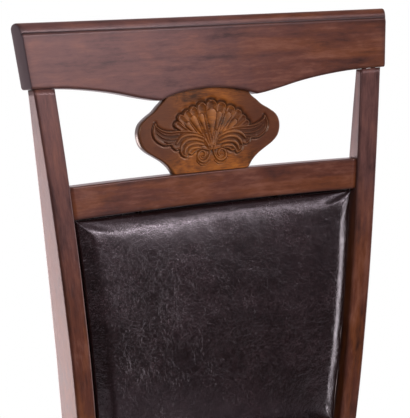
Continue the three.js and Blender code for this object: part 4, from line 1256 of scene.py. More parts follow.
class Carving:
    """The relief of the medallion: a fan of petals over two leaf scrolls, as heights in millimetres.

    Places are given in millimetres across and down from the crest's lower edge.
    """

    axis = 1
    steps = 5
    root = (1.5, -84)
    petals = (
        (-53, 53.5, 3.6), (-44, 54, 4.4), (-34.5, 52, 4.8), (-24.5, 50.5, 5.4), (-11.5, 50, 6.2),
        (3, 51, 6.8), (17.5, 50.5, 6.2), (31.5, 51.5, 5.6), (42.5, 54, 4.6), (51.5, 54, 4.2),
        (59, 54.5, 3.6),
    )
    drops = ((3, 41.5, 6.4, 15), (31, 45, 3.9, 23), (-30, 43, 3.9, 23), (-16, 41, 3.2, 22),
             (17, 42, 3.2, 24), (46, 44, 3, 26), (-43, 43, 3, 26))
    leaf = (
        (3.5, -84), (4, -79), (7, -72.5), (13, -66), (22, -61.3), (33, -59), (44, -58.6),
        (55, -58.6), (64, -56), (70, -52), (72, -47.6), (75.5, -55), (75.2, -62.5), (70.5, -69),
        (62, -73.6), (53, -73.8), (51, -77), (47, -80), (42.5, -79.6), (41.5, -83.5), (38.5, -87.6),
        (33.5, -89.4), (31.5, -86), (27, -86.5), (22, -83.5), (12, -82),
    )
    veins = (
        ((41, -62.5), (52, -62.8), (62, -61), (70, -55)),
        ((43, -67), (53, -67.6), (63, -65), (70.5, -59.5)),
        ((46, -71), (54, -71.2), (61, -69.5)),
    )
    fingers = (
        ((10.5, -69), (21, -65), (32, -64.3), (40.5, -67), (46, -73)),
        ((11, -73), (21.5, -69.6), (32, -70), (38.5, -74.5), (41, -80.5)),
        ((11, -77), (20.5, -74.8), (30, -75.8), (35, -80), (36.5, -85)),
        ((14, -80.6), (21, -79.4), (28, -80.6), (31.5, -84.5)),
    )
    volute = (
        (3.6, -80), (4, -88), (8.5, -94.8), (15, -95.6), (19.2, -91.4), (18.2, -85.6), (13.4, -83.2),
        (9.6, -86.4), (10.8, -90.6), (14.2, -90.4),
    )
    tail = ((4, -95.5), (9.5, -99.4), (16, -99), (21, -94))

    def __init__(self, x: Array, z: Array) -> None:
        """Takes the places, in millimetres, at which the heights are wanted."""
        self.x, self.z = x, z
        self.height = np.zeros_like(x)

    def heights(self) -> Array:
        """Heights of the relief at the places.

        Returns:
            The heights, in millimetres.
        """
        petals = self._petal_distance()
        self._sink_ground(petals, 1.5, 3.0)
        halves = [self.axis + side * (self.x - self.axis) for side in (-1, 1)]
        leaf = np.minimum(*(self._outline_distance(across, self._smooth(self.leaf, True)) for across in halves))
        self._sink_ground(leaf, 1.1, 1.7)
        self._carve_petals(petals)
        self._carve_leaf(leaf)
        for across in halves:
            for vein in self.veins:
                self._ridge(across, vein, 0.75, 0.85)
            for finger in self.fingers:
                self._ridge(across, finger, 1.75, 1.5)
            self._ridge(across, self.volute, 1.35, 1.35, -0.9)
            self._ridge(across, self.tail, 1.0, 1.0, -0.8)
        return self.height

    def _sink_ground(self, distance: Array, depth: float, reach: float) -> None:
        """Cuts the ground down outside a form, to a depth at its outline, and up again over a reach."""
        sunk = -depth * np.exp(-((np.maximum(distance, 0) / reach) ** 2))
        self.height = np.minimum(self.height, np.where(distance > 0, sunk, self.height))

    def _petal_distance(self) -> Array:
        """Distance to the nearest petal of the fan, negative inside it.

        Returns:
            The distances.
        """
        nearest = np.full_like(self.x, 1e3)
        for turn, reach, radius in self.petals:
            nearest = np.minimum(nearest, self._drop_distance(turn, reach, radius, 2.0, 0.9))
        return nearest

    def _drop_distance(self, turn: float, reach: float, radius: float, start: float, foot: float) -> Array:
        """Distance to a drop that widens from the fan's root, negative inside it.

        Args:
            turn: Its turn from upright, in degrees.
            reach: How far out its round head lies.
            radius: Radius of its head.
            start: How far out its foot lies.
            foot: Radius of its foot.

        Returns:
            The distances.
        """
        angle = math.radians(turn)
        dx, dz = self.x - self.root[0], self.z - self.root[1]
        along = dx * math.sin(angle) + dz * math.cos(angle) - start
        across = np.abs(dx * math.cos(angle) - dz * math.sin(angle))
        length = reach - start
        slope = (foot - radius) / length
        steady = math.sqrt(1 - slope * slope)
        lean = along * steady - across * slope
        low = np.hypot(across, along) - foot
        high = np.hypot(across, along - length) - radius
        flank = across * steady + along * slope - foot
        return np.where(lean < 0, low, np.where(lean > steady * length, high, flank))

    def _carve_petals(self, distance: Array) -> None:
        """Scoops each petal inside a raised rim and lays the rounded drops in them.

        Args:
            distance: Distances to the nearest petal.
        """
        inside = np.maximum(-distance, 0)
        rim = 0.95 * np.exp(-(((inside - 0.75) / 0.62) ** 2))
        scoop = 0.15 - 0.75 * (1 - np.exp(-((inside / 2.4) ** 2)))
        self.height = np.where(distance < 0, scoop + rim, self.height)
        for turn, reach, radius, start in self.drops:
            gap = self._drop_distance(turn, reach, radius, start, 0.5)
            within = np.clip(-gap / radius, 0, 1)
            dome = 0.35 + 0.75 * np.sqrt(1 - (1 - within) ** 2)
            self.height = np.where(gap < 0, dome, self.height)
            self.height = np.where((gap >= 0) & (gap < 0.9) & (distance < 0), -0.75, self.height)

    def _carve_leaf(self, distance: Array) -> None:
        """Sinks a leaf scroll inside its raised rim.

        Args:
            distance: Distances to the nearest leaf.
        """
        inside = np.maximum(-distance, 0)
        rim = 1.25 * np.exp(-(((inside - 0.8) / 0.7) ** 2))
        bed = 0.1 - 0.75 * (1 - np.exp(-((inside / 2.6) ** 2)))
        self.height = np.where(distance < 0, bed + rim, self.height)

    def _smooth(self, points: Sequence[tuple[float, float]], closed: bool = False) -> Array:
        """Points of a smooth line through a few given ones.

        Args:
            points: The given points.
            closed: Whether the line closes.

        Returns:
            The line's points.
        """
        given = np.asarray(points, float)
        count = len(given)
        pads = (given[-1:], given[:2]) if closed else (2 * given[:1] - given[1:2], 2 * given[-1:] - given[-2:-1])
        padded = np.concatenate([pads[0], given, pads[1]])
        line = []
        for i in range(count if closed else count - 1):
            a, b, c, d = padded[i : i + 4]
            for t in np.arange(self.steps) / self.steps:
                line.append(0.5 * (2 * b + (c - a) * t + (2 * a - 5 * b + 4 * c - d) * t**2
                                   + (3 * b - a - 3 * c + d) * t**3))
        if not closed:
            line.append(given[-1])
        return np.array(line)

    def _line_distance(self, across: Array, line: Array) -> tuple[Array, Array]:
        """Distance to a line, and the share of the way along it.

        Args:
            across: Places across, mirrored or not.
            line: The line's points.

        Returns:
            Distances and shares.
        """
        best, share = np.full_like(across, 1e3), np.zeros_like(across)
        reach = 6.0
        low, high = line.min(axis=0) - reach, line.max(axis=0) + reach
        near = (across > low[0]) & (across < high[0]) & (self.z > low[1]) & (self.z < high[1])
        px, pz = across[near], self.z[near]
        found, where = np.full_like(px, 1e3), np.zeros_like(px)
        for i, (a, b) in enumerate(zip(line[:-1], line[1:])):
            run = b - a
            t = np.clip(((px - a[0]) * run[0] + (pz - a[1]) * run[1]) / max(float(run @ run), 1e-9), 0, 1)
            gap = np.hypot(px - a[0] - t * run[0], pz - a[1] - t * run[1])
            closer = gap < found
            found = np.where(closer, gap, found)
            where = np.where(closer, (i + t) / (len(line) - 1), where)
        best[near], share[near] = found, where
        return best, share

    def _outline_distance(self, across: Array, outline: Array) -> Array:
        """Distance to a closed outline, negative inside it.

        Args:
            across: Places across, mirrored or not.
            outline: The outline's points.

        Returns:
            The distances.
        """
        loop = np.concatenate([outline, outline[:1]])
        gap, _ = self._line_distance(across, loop)
        inside = np.zeros(across.shape, bool)
        for a, b in zip(loop[:-1], loop[1:]):
            crosses = (a[1] > self.z) != (b[1] > self.z)
            at = a[0] + (self.z - a[1]) * (b[0] - a[0]) / (b[1] - a[1] if b[1] != a[1] else 1e-9)
            inside ^= crosses & (across < at)
        return np.where(inside, -gap, gap)

    def _ridge(
        self, across: Array, points: Sequence[tuple[float, float]], half: float, height: float,
        groove: float = -0.7,
    ) -> None:
        """Raises a rounded ridge along a line, thinner at its ends, between fine grooves.

        Args:
            across: Places across, mirrored or not.
            points: The line's given points.
            half: Half its width.
            height: Its height.
            groove: Height of the grooves beside it.
        """
        gap, share = self._line_distance(across, self._smooth(points))
        taper = half * (0.45 + 0.55 * np.sin(math.pi * np.clip(share, 0.02, 0.98)) ** 0.6)
        within = np.clip(1 - gap / taper, 0, 1)
        crown = groove + (height - groove) * np.sqrt(np.clip(1 - (1 - within) ** 2, 0, 1))
        self.height = np.where(gap < taper, crown, self.height)
        beside = (gap >= taper) & (gap < taper + 0.45)
        self.height = np.where(beside, np.minimum(self.height, groove), self.height)


@dataclass
class Medallion:
    """The carved plate between the crest rail and the upper back rail."""

    face: BackFace
    crest: CrestRail
    finishes: Finishes
    half_width: float = 92.2 * MM
    thickness: float = 12 * MM
    top_recess: float = 5 * MM
    foot_recess: float = 1 * MM
    edge: float = 3 * MM
    columns: int = 384
    rows: int = 196
    coarse: int = 8
    relief_gain: float = 1.15
    outline: Curve = Curve((
        (0.05, 0.5), (0.218, 0.618), (0.274, 0.694), (0.329, 0.765), (0.38, 0.862), (0.433, 0.944), (0.481, 0.982),
        (0.545, 1), (0.62, 0.991), (0.688, 0.954), (0.747, 0.879), (0.802, 0.775), (0.855, 0.678), (0.918, 0.597),
        (1, 0.53),
    ))

    def _front(self, x: Array, z: Array) -> Array:
        """How far back the plate's front lies in the back's frame.

        Args:
            x: Places across.
            z: Heights.

        Returns:
            The distances.
        """
        share = -z / self.face.window_height
        top = float(self.crest.point(np.array(0.0), np.array(0.0), np.array(self.top_recess))[1])
        foot = float(self.face.front(0, -self.face.window_height)) + self.foot_recess
        return mix(top, foot, share) - x * x / (2 * self.crest.bend_radius)

    def build(self) -> None:
        """Builds and dresses the medallion."""
        window = self.face.window_height
        u = np.sin(np.linspace(-1, 1, self.columns + 1) * 0.5 * math.pi * 0.86) / math.sin(0.43 * math.pi)
        u = mix(np.linspace(-1, 1, self.columns + 1), u, 0.5)[None, :]
        v = np.linspace(0, 1, self.rows + 1)[:, None]
        foot = GLUE_LINE - window
        z = mix(-self.crest.drop(np.array(0.0)), foot, v) * np.ones_like(u)
        for _ in range(FIT_ROUNDS):
            x = u * self.half_width * self.outline.at(-z / window)
            z = mix(-self.crest.drop(x) - GLUE_LINE, foot, v)
        from_side = self.half_width * self.outline.at(-z / window) * (1 - np.abs(u))
        relief = Carving(x / MM, z / MM).heights()
        soft, face = round_off(from_side, self.edge), self._front(x, z)
        front = xyz(x, face + soft - relief * self.relief_gain * MM, z)
        shell = self._shell(front, xyz(x, face + self.thickness - 0.6 * soft, z))
        across, back, down = shell.corners.T
        rest = np.zeros(len(shell.corners) - x.size)
        sides = np.clip(np.abs(across) / (0.72 * self.half_width), 0, 1)
        middle = smooth(0.0, 0.3, -down / window) * smooth(1.0, 0.72, -down / window)
        # relief and rim steer the painted shade in the grooves and the painted highlight on raised parts and rims;
        # sidedness steers painted shade towards the sides, and wall darkens the side walls.
        shell.values = {
            "grain": grain_of(down, back, across, 8.4),
            "rim": np.concatenate([from_side.ravel(), rest + 1]),
            "relief": np.concatenate([relief.ravel(), rest]),
            "sidedness": sides * (0.35 + 0.65 * middle),
            "wall": np.concatenate([smooth(self.edge, 0.5 * MM, from_side.ravel()) * 0.6, rest + 1]),
        }
        shell.corners = self.face.space.back_to_row(shell.corners)
        self.finishes.dress(shell.build("medallion_carved"), Slot.CARVED_WOOD, "medallion")

    def _shell(self, front: Array, rear: Array) -> Shell:
        """A fine front closed by a coarse rear that shares its border.

        Args:
            front: Points of the front by row, column and axis.
            rear: Points of the rear over the same rows and columns.

        Returns:
            The closed shell.
        """
        rows, columns = front.shape[:2]
        layer = rows * columns
        grid = np.arange(layer).reshape(rows, columns)
        faces = quads_of(grid)
        index: dict[tuple[int, int], int] = {}
        extra: list[Array] = []

        def at(r: int, c: int) -> int:
            """The rear's corner at a row and column.

            Args:
                r: The row.
                c: The column.

            Returns:
                The corner's number.
            """
            if (r, c) not in index:
                index[(r, c)] = layer + len(extra)
                extra.append(rear[r, c])
            return index[(r, c)]

        border = [(0, c) for c in range(columns - 1)] + [(r, columns - 1) for r in range(rows - 1)]
        border += [(rows - 1, c) for c in range(columns - 1, 0, -1)] + [(r, 0) for r in range(rows - 1, 0, -1)]
        for (r, c), (r2, c2) in zip(border, border[1:] + border[:1]):
            faces.append((int(grid[r, c]), int(grid[r2, c2]), at(r2, c2), at(r, c)))
        row_stops = [*range(0, rows - 1, self.coarse), rows - 1]
        column_stops = [*range(0, columns - 1, self.coarse), columns - 1]
        for r, r2 in zip(row_stops[:-1], row_stops[1:]):
            for c, c2 in zip(column_stops[:-1], column_stops[1:]):
                top = [(r, k) for k in (range(c, c2) if r == 0 else (c,))]
                right = [(k, c2) for k in (range(r, r2) if c2 == columns - 1 else (r,))]
                low = [(r2, k) for k in (range(c2, c, -1) if r2 == rows - 1 else (c2,))]
                left = [(k, c) for k in (range(r2, r, -1) if c == 0 else (r2,))]
                faces.append(tuple(at(*place) for place in top + right + low + left))
        return Shell(np.concatenate([front.reshape(-1, 3), extra]), faces)


@dataclass
class SeatFrame:
    """The front legs and the four rails that carry the seat."""

    space: Space
    finishes: Finishes
    height: float = 415 * MM
    front_width: float = 450 * MM
    rail_height: float = 60 * MM
    rear_rail_height: float = 42 * MM
    rail_thickness: float = 22 * MM
    rail_inset: float = 3 * MM
    rear_rail_setback: float = 16 * MM
    side_arch: float = 10 * MM
    front_arch: float = 16 * MM
    rail_edge: float = 1.5 * MM
    tenon_reach: float = 3 * MM
    leg_size: float = 40 * MM
    leg_foot: float = 27 * MM
    leg_edge: float = 3 * MM
    leg_straight: float = 72 * MM
    glide_height: float = 4 * MM
    stations: int = 41

    @property
    def front_half(self) -> float:
        """Half the frame's width at the front."""
        return self.front_width / 2

    @property
    def side_rear(self) -> Array:
        """Rear end of the right side rail's outer face."""
        corner = self.space.rear_corner
        return np.array([corner[0] - self.rail_inset, corner[1]])

    @property
    def side_front(self) -> Array:
        """Front end of the right side rail's outer face."""
        return np.array([self.front_half - self.rail_inset, self.space.front_face + self.leg_size])

    @property
    def side_angle(self) -> float:
        """How far the side rails splay towards the front."""
        run = self.side_front - self.side_rear
        return math.atan2(run[0], -run[1])

    @property
    def rear_rail_front(self) -> float:
        """Front face of the rear seat rail."""
        return float(self.space.rear_corner[1]) + self.rear_rail_setback

    @property
    def front_rail_back(self) -> float:
        """Rear face of the front seat rail."""
        return self.space.front_face + self.rail_inset + self.rail_thickness

    def half_at(self, y: Array | float, inward: Array | float) -> Array | float:
        """Half the frame's width at a place from front to back, in from the side rails' outer faces."""
        across = self.side_rear[0] + (self.side_rear[1] - y) * math.tan(self.side_angle)
        return across - inward / math.cos(self.side_angle)

    def build(self) -> None:
        """Builds and dresses the front legs and the rails."""
        for seed, side in enumerate(Side):
            piece = self._leg(side, 9.2 + seed).build(f"front_leg_{side.word}_tapered")
            self.finishes.dress(piece, Slot.STAINED_WOOD, f"front_leg_{side.word}")
            reach = self.tenon_reach * np.array([math.sin(self.side_angle), -math.cos(self.side_angle)])
            ends = np.array([self.side_rear - 2 * reach, self.side_front + reach]) * (side.value, 1)
            name = f"side_seat_rail_{side.word}_arched"
            self._rail(name, ends, -side.value, self.rail_height, self.side_arch, 12.0 + seed)
        legs, middle = self.space.legs, np.array(self.height - self.rear_rail_height / 2)
        rear = float(legs.point(Side.RIGHT, middle, legs.width_seat, self.rear_rail_setback)[0])
        for name, half, y, height, arch, seed in (
            ("front_seat_rail_arched", self.front_half - self.leg_size, self.space.front_face + self.rail_inset,
             self.rail_height, self.front_arch, 15.0),
            ("rear_seat_rail_eased", rear, self.rear_rail_front, self.rear_rail_height, 0.0, 17.0),
        ):
            half += self.tenon_reach
            self._rail(name, np.array([[-half, y], [half, y]]), 1, height, arch, seed)

    def _leg(self, side: Side, seed: float) -> Shell:
        """A front leg, straight at the rails and then tapered on its inner faces.

        Args:
            side: Which leg.
            seed: Where its grain lies.

        Returns:
            The closed shell.
        """
        bend = self.height - self.leg_straight
        heights = np.concatenate([
            self.glide_height + np.array([0, 0.5, 1.2, 2.5]) * MM,
            np.linspace(self.glide_height + 10 * MM, bend - 6 * MM, 30),
            bend + np.array([-2, -0.6, 0.6, 2]) * MM,
            np.linspace(bend + 6 * MM, self.height, 8),
        ])
        rows = []
        for height in heights:
            share = min(1.0, (height - self.glide_height) / (bend - self.glide_height))
            size = mix(self.leg_foot, self.leg_size, share)
            chamfer = float(round_off(np.array(height - self.glide_height), 1.2 * MM))
            ring = rounded_ring(size - 2 * chamfer, size - 2 * chamfer, self.leg_edge)
            u, v = ring.points[:, 0] + chamfer, ring.points[:, 1] + chamfer
            place = xyz(side.value * (self.front_half - u), self.space.front_face + v, height)
            rows.append((place, grain_of(u, v, height, seed), ring.rim))
        return self._loft(rows)

    def _loft(self, rows: Sequence[tuple[Array, ...]]) -> Shell:
        """A body through rings of points, grain and rim."""
        points, grain, rim = map(np.array, zip(*rows))
        return loft(self.space.to_row(points), grain=grain, rim=rim, warmth=np.full_like(rim, 0.6))

    def _rail(self, name: str, ends: Array, turn: int, height: float, arch: float, seed: float) -> None:
        """Builds and dresses a straight rail with an arched lower edge.

        Args:
            name: Its name, which is its node's and a word more.
            ends: Both ends of its outer face, seen from above.
            turn: 1 where its thickness lies to the left of the run, or -1.
            height: Its height at its ends.
            arch: How far its lower edge rises in the middle.
            seed: Where its grain lies.
        """
        run = ends[1] - ends[0]
        length = float(np.linalg.norm(run))
        inward = turn * np.array([-run[1], run[0]]) / length
        rows = []
        for share in np.linspace(0, 1, self.stations):
            tall = height - arch * 4 * share * (1 - share)
            ring = rounded_ring(self.rail_thickness, tall, self.rail_edge)
            depth, up = ring.points[:, 0], ring.points[:, 1] + self.height - tall
            place = ends[0] + share * run + depth[:, None] * inward
            rows.append((np.column_stack([place, up]), grain_of(up, depth, share * length, seed), ring.rim))
        piece = self._loft(rows).build(name)
        self.finishes.dress(piece, Slot.STAINED_WOOD, name.rpartition("_")[0])


# Padded pieces


def ripple(points: Array, wavelength: float, seed: int) -> Array:
    """Smooth seeded unevenness between about -1 and 1.

    Args:
        points: Points by place and axis.
        wavelength: Mean distance from crest to crest.
        seed: Seed of the waves' directions.

    Returns:
        One value for each point.
    """
    rng = np.random.default_rng(seed)
    total, waves = np.zeros(points.shape[:-1]), 9
    for _ in range(waves):
        turn = rng.normal(size=3)
        turn *= 2 * math.pi / (wavelength * rng.uniform(0.6, 1.5)) / np.linalg.norm(turn)
        total += np.sin(points @ turn + rng.uniform(0, 2 * math.pi))
    return total / math.sqrt(waves)


def read(layer: bpy.types.bpy_prop_collection, key: str, width: int = 3) -> Array:
    """A mesh layer's numbers, one row for each corner."""
    flat = np.empty(len(layer) * width)
    layer.foreach_get(key, flat)
    return flat.reshape(-1, width)


def value_of(mesh: bpy.types.Mesh, name: str) -> Array:
    """A stored value at a mesh's corners."""
    return read(mesh.attributes[name].data, "value", 1)[:, 0]


def push(piece: bpy.types.Object, along_normal: Array) -> None:
    """Moves a piece's corners along their normals by the given distances.

    Args:
        piece: The piece.
        along_normal: How far each corner moves.
    """
    mesh = piece.data
    points = read(mesh.vertices, "co") + read(mesh.vertex_normals, "vector") * along_normal[:, None]
    mesh.vertices.foreach_set("co", points.ravel())
    mesh.update()


@dataclass(frozen=True)
class Stuffing:
    """How a cover swells over its filling when cloth is simulated under pressure."""

    pressure: float
    cap: float
    frames: int = 20
    quality: int = 5
    mass: float = 0.3
    stiffness: float = 12.0
    bending: float = 1.5

    def swell(self, piece: bpy.types.Object, held: Array) -> None:
        """Simulates the cover, holds it where it is fixed and caps how far it moves.

        Args:
            piece: The cover, whose mesh takes the result.
            held: How firmly each corner is held, from 0 to 1.
        """
        mesh = piece.data
        rest = read(mesh.vertices, "co")
        group = piece.vertex_groups.new(name="held")
        for level in np.unique(held.round(2)):
            if level > 0:
                group.add(np.nonzero(held.round(2) == level)[0].tolist(), float(level), "REPLACE")
        cloth = piece.modifiers.new("cover", "CLOTH")
        settings = cloth.settings
        settings.quality, settings.mass = self.quality, self.mass
        settings.tension_stiffness = settings.compression_stiffness = self.stiffness
        settings.shear_stiffness = 0.5 * self.stiffness
        settings.bending_stiffness = self.bending
        settings.vertex_group_mass = group.name
        settings.use_pressure = True
        settings.uniform_pressure_force = self.pressure
        settings.effector_weights.gravity = 0
        cloth.point_cache.frame_start, cloth.point_cache.frame_end = 1, self.frames
        scene = bpy.context.scene
        for step in range(1, self.frames + 1):
            scene.frame_set(step)
        evaluated = piece.evaluated_get(bpy.context.evaluated_depsgraph_get())
        move = read(evaluated.data.vertices, "co") - rest
        size = np.linalg.norm(move, axis=1, keepdims=True)
        softened = self.cap * np.tanh(size / self.cap)
        result = rest + move * softened / np.maximum(size, 1e-9)
        piece.modifiers.remove(cloth)
        piece.vertex_groups.remove(group)
        mesh.vertices.foreach_set("co", result.ravel())
        mesh.update()
        scene.frame_set(1)
        log.info("%s swells by up to %.1f mm", piece.name, float(softened.max()) / MM)


def refined(piece: bpy.types.Object) -> None:
    """Subdivides a piece's mesh once, smoothly, and keeps it as a plain mesh.

    Args:
        piece: The piece, whose mesh is replaced.
    """
    modifier = piece.modifiers.new("smooth", "SUBSURF")
    modifier.levels = modifier.render_levels = 1
    graph = bpy.context.evaluated_depsgraph_get()
    mesh = bpy.data.meshes.new_from_object(piece.evaluated_get(graph), preserve_all_data_layers=True, depsgraph=graph)
    piece.modifiers.remove(modifier)
    old, piece.data = piece.data, mesh
    bpy.data.meshes.remove(old)
    mesh.name = piece.name
    mesh.shade_smooth()


def eased(count: int, near: float) -> Array:
    """Places from -1 to 1, closer together at both ends by a share from 0 to 1."""
    even = np.linspace(-1, 1, count)
    return mix(even, np.sin(even * 0.5 * math.pi), near)


@dataclass
class BackPad:
    """The leatherette pad between the back rails, and the panel that closes it behind."""

    face: BackFace
    rails: BackRails
    finishes: Finishes
    end_gap: float = 3 * MM
    side_gap: float = 4.6 * MM
    edge_setback: float = 3 * MM
    crown: float = 9.5 * MM
    corner_reach: float = 1.6 * MM
    side_round: float = 18 * MM
    side_power: float = 1.45
    end_round: float = 15 * MM
    end_power: float = 2.5
    flat_share: float = 0.3
    board_back: float = 17 * MM
    rear_gap: float = 0.4 * MM
    rear_thickness: float = 3 * MM
    rear_crown: float = 1.2 * MM
    rear_round: float = 2 * MM
    columns: int = 76
    rows: int = 66
    rear_columns: int = 56
    rear_rows: int = 48
    stuffing: Stuffing = Stuffing(pressure=2.6, cap=2.6 * MM)

    def _place(self, u: Array, v: Array) -> tuple[Array, ...]:
        """Places on the pad's outline.

        Args:
            u: Share across, from -1 to 1.
            v: Share down, from 0 to 1.

        Returns:
            Across and up in the back's frame, and distances from the sides and from the ends.
        """
        top = -self.face.window_height - self.rails.upper_height - self.end_gap
        foot = -self.rails.lower_top + self.end_gap
        across = 2 * v - 1
        z = mix(top, foot, v) - self.corner_reach * across * np.abs(u) ** 6
        half = self.face.edge(z)[0] - self.side_gap + self.corner_reach * np.abs(across) ** 6
        return u * half, z, half * (1 - np.abs(u)), np.minimum(v, 1 - v) * (top - foot)

    def build(self) -> None:
        """Builds and dresses the pad and its rear panel."""
        self._front()
        self._rear()

    def _front(self) -> None:
        """The pad's cover, swelled by simulation and pulled tight at its corners."""
        u, v = np.meshgrid(eased(self.columns, 0.75), (eased(self.rows, 0.7) + 1) / 2)
        x, z, from_side, from_end = self._place(u, v)
        face = self.face.front(x, z)
        crown = self.crown * (1 - self.flat_share * u**4) * (1 - self.flat_share * (2 * v - 1) ** 6)
        sides = 1 - np.clip(1 - from_side / self.side_round, 0, 1) ** self.side_power
        lift = sides * (1 - np.clip(1 - from_end / self.end_round, 0, 1) ** self.end_power)
        front = xyz(x, face + self.edge_setback - crown * lift, z)
        shell, depth = slab(front, xyz(x, face + self.board_back, z), walls=4)
        wall = np.zeros(len(shell.corners) - 2 * u.size)
        shell.values = {
            "across": np.concatenate([u.ravel(), u.ravel(), np.sign(shell.corners[2 * u.size :, 0])]),
            "down": np.concatenate([v.ravel(), v.ravel(), wall]),
            "depth": depth,
        }
        shell.corners = self.face.space.back_to_row(shell.corners)
        piece = shell.build("back_pad_stuffed")
        self.stuffing.swell(piece, smooth(0.04, 0.3, depth))
        refined(piece)
        self._pull(piece)
        self.finishes.dress(piece, Slot.LEATHERETTE, "back_pad_cover", "back_pad_foam")

    def _pull(self, piece: bpy.types.Object) -> None:
        """Adds folds that run out of the pad's corners, tucks along its edges and slow unevenness.

        Args:
            piece: The pad.
        """
        points = read(piece.data.vertices, "co")
        u, v, depth = (value_of(piece.data, name) for name in ("across", "down", "depth"))
        half, tall = np.ptp(points[:, 0]) / 2, np.ptp(points[:, 2])
        move = 0.3 * MM * ripple(points, 0.075, 11) + 0.08 * MM * ripple(points, 0.028, 12)
        for right in (-1, 1):
            for low in (0, 1):
                dx, dz = half * (1 - right * u), tall * np.abs(v - low)
                away, turn = np.hypot(dx, dz), np.arctan2(dz, dx)
                fan = np.cos(turn * 9.0 + 0.8 * right) * 0.7 + np.cos(turn * 15.0 + 2.0 * low) * 0.4
                move += 0.35 * MM * fan * smooth(0.055, 0.008, away) * smooth(0.0, 0.012, away)
        edge = np.minimum(half * (1 - np.abs(u)), tall * np.minimum(v, 1 - v))
        tucks = ripple(points * np.array([1.0, 0.2, 1.0]), 0.017, 13)
        move += 0.1 * MM * tucks * smooth(0.028, 0.010, edge) * smooth(0.0, 0.006, edge)
        push(piece, move * smooth(0.7, 0.0, depth))

    def _rear(self) -> None:
        """The padded panel that closes the opening behind the board, softly crowned."""
        u, v = np.meshgrid(eased(self.rear_columns, 0.6), (eased(self.rear_rows, 0.6) + 1) / 2)
        top = -self.face.window_height - self.rails.upper_height - self.rear_gap
        z = mix(top, self.rear_gap - self.rails.lower_top, v)
        x, near = u * self.face.edge(z)[0], 0.0
        for _ in range(FIT_ROUNDS):
            near = self.face.front(x, z) + self.board_back + GLUE_LINE
            half = self.face.reach(xyz(x, near, z)) - self.rear_gap
            x = u * half
        from_end = np.minimum(v, 1 - v) * float(np.ptp(z))
        fall = np.maximum(*(round_off(gap, self.rear_round) for gap in (half * (1 - np.abs(u)), from_end)))
        crown = self.rear_crown * (1 - u**4) * (1 - (2 * v - 1) ** 4)
        shell, _ = slab(xyz(x, near, z), xyz(x, near + self.rear_thickness - 0.7 * fall + crown, z))
        shell.corners = self.face.space.back_to_row(shell.corners)
        piece = shell.build("back_rear_panel_padded")
        points = read(piece.data.vertices, "co")
        push(piece, 0.18 * MM * ripple(points, 0.06, 21) * (np.arange(len(points)) >= u.size))
        self.finishes.dress(piece, Slot.LEATHERETTE, "back_rear_cover")


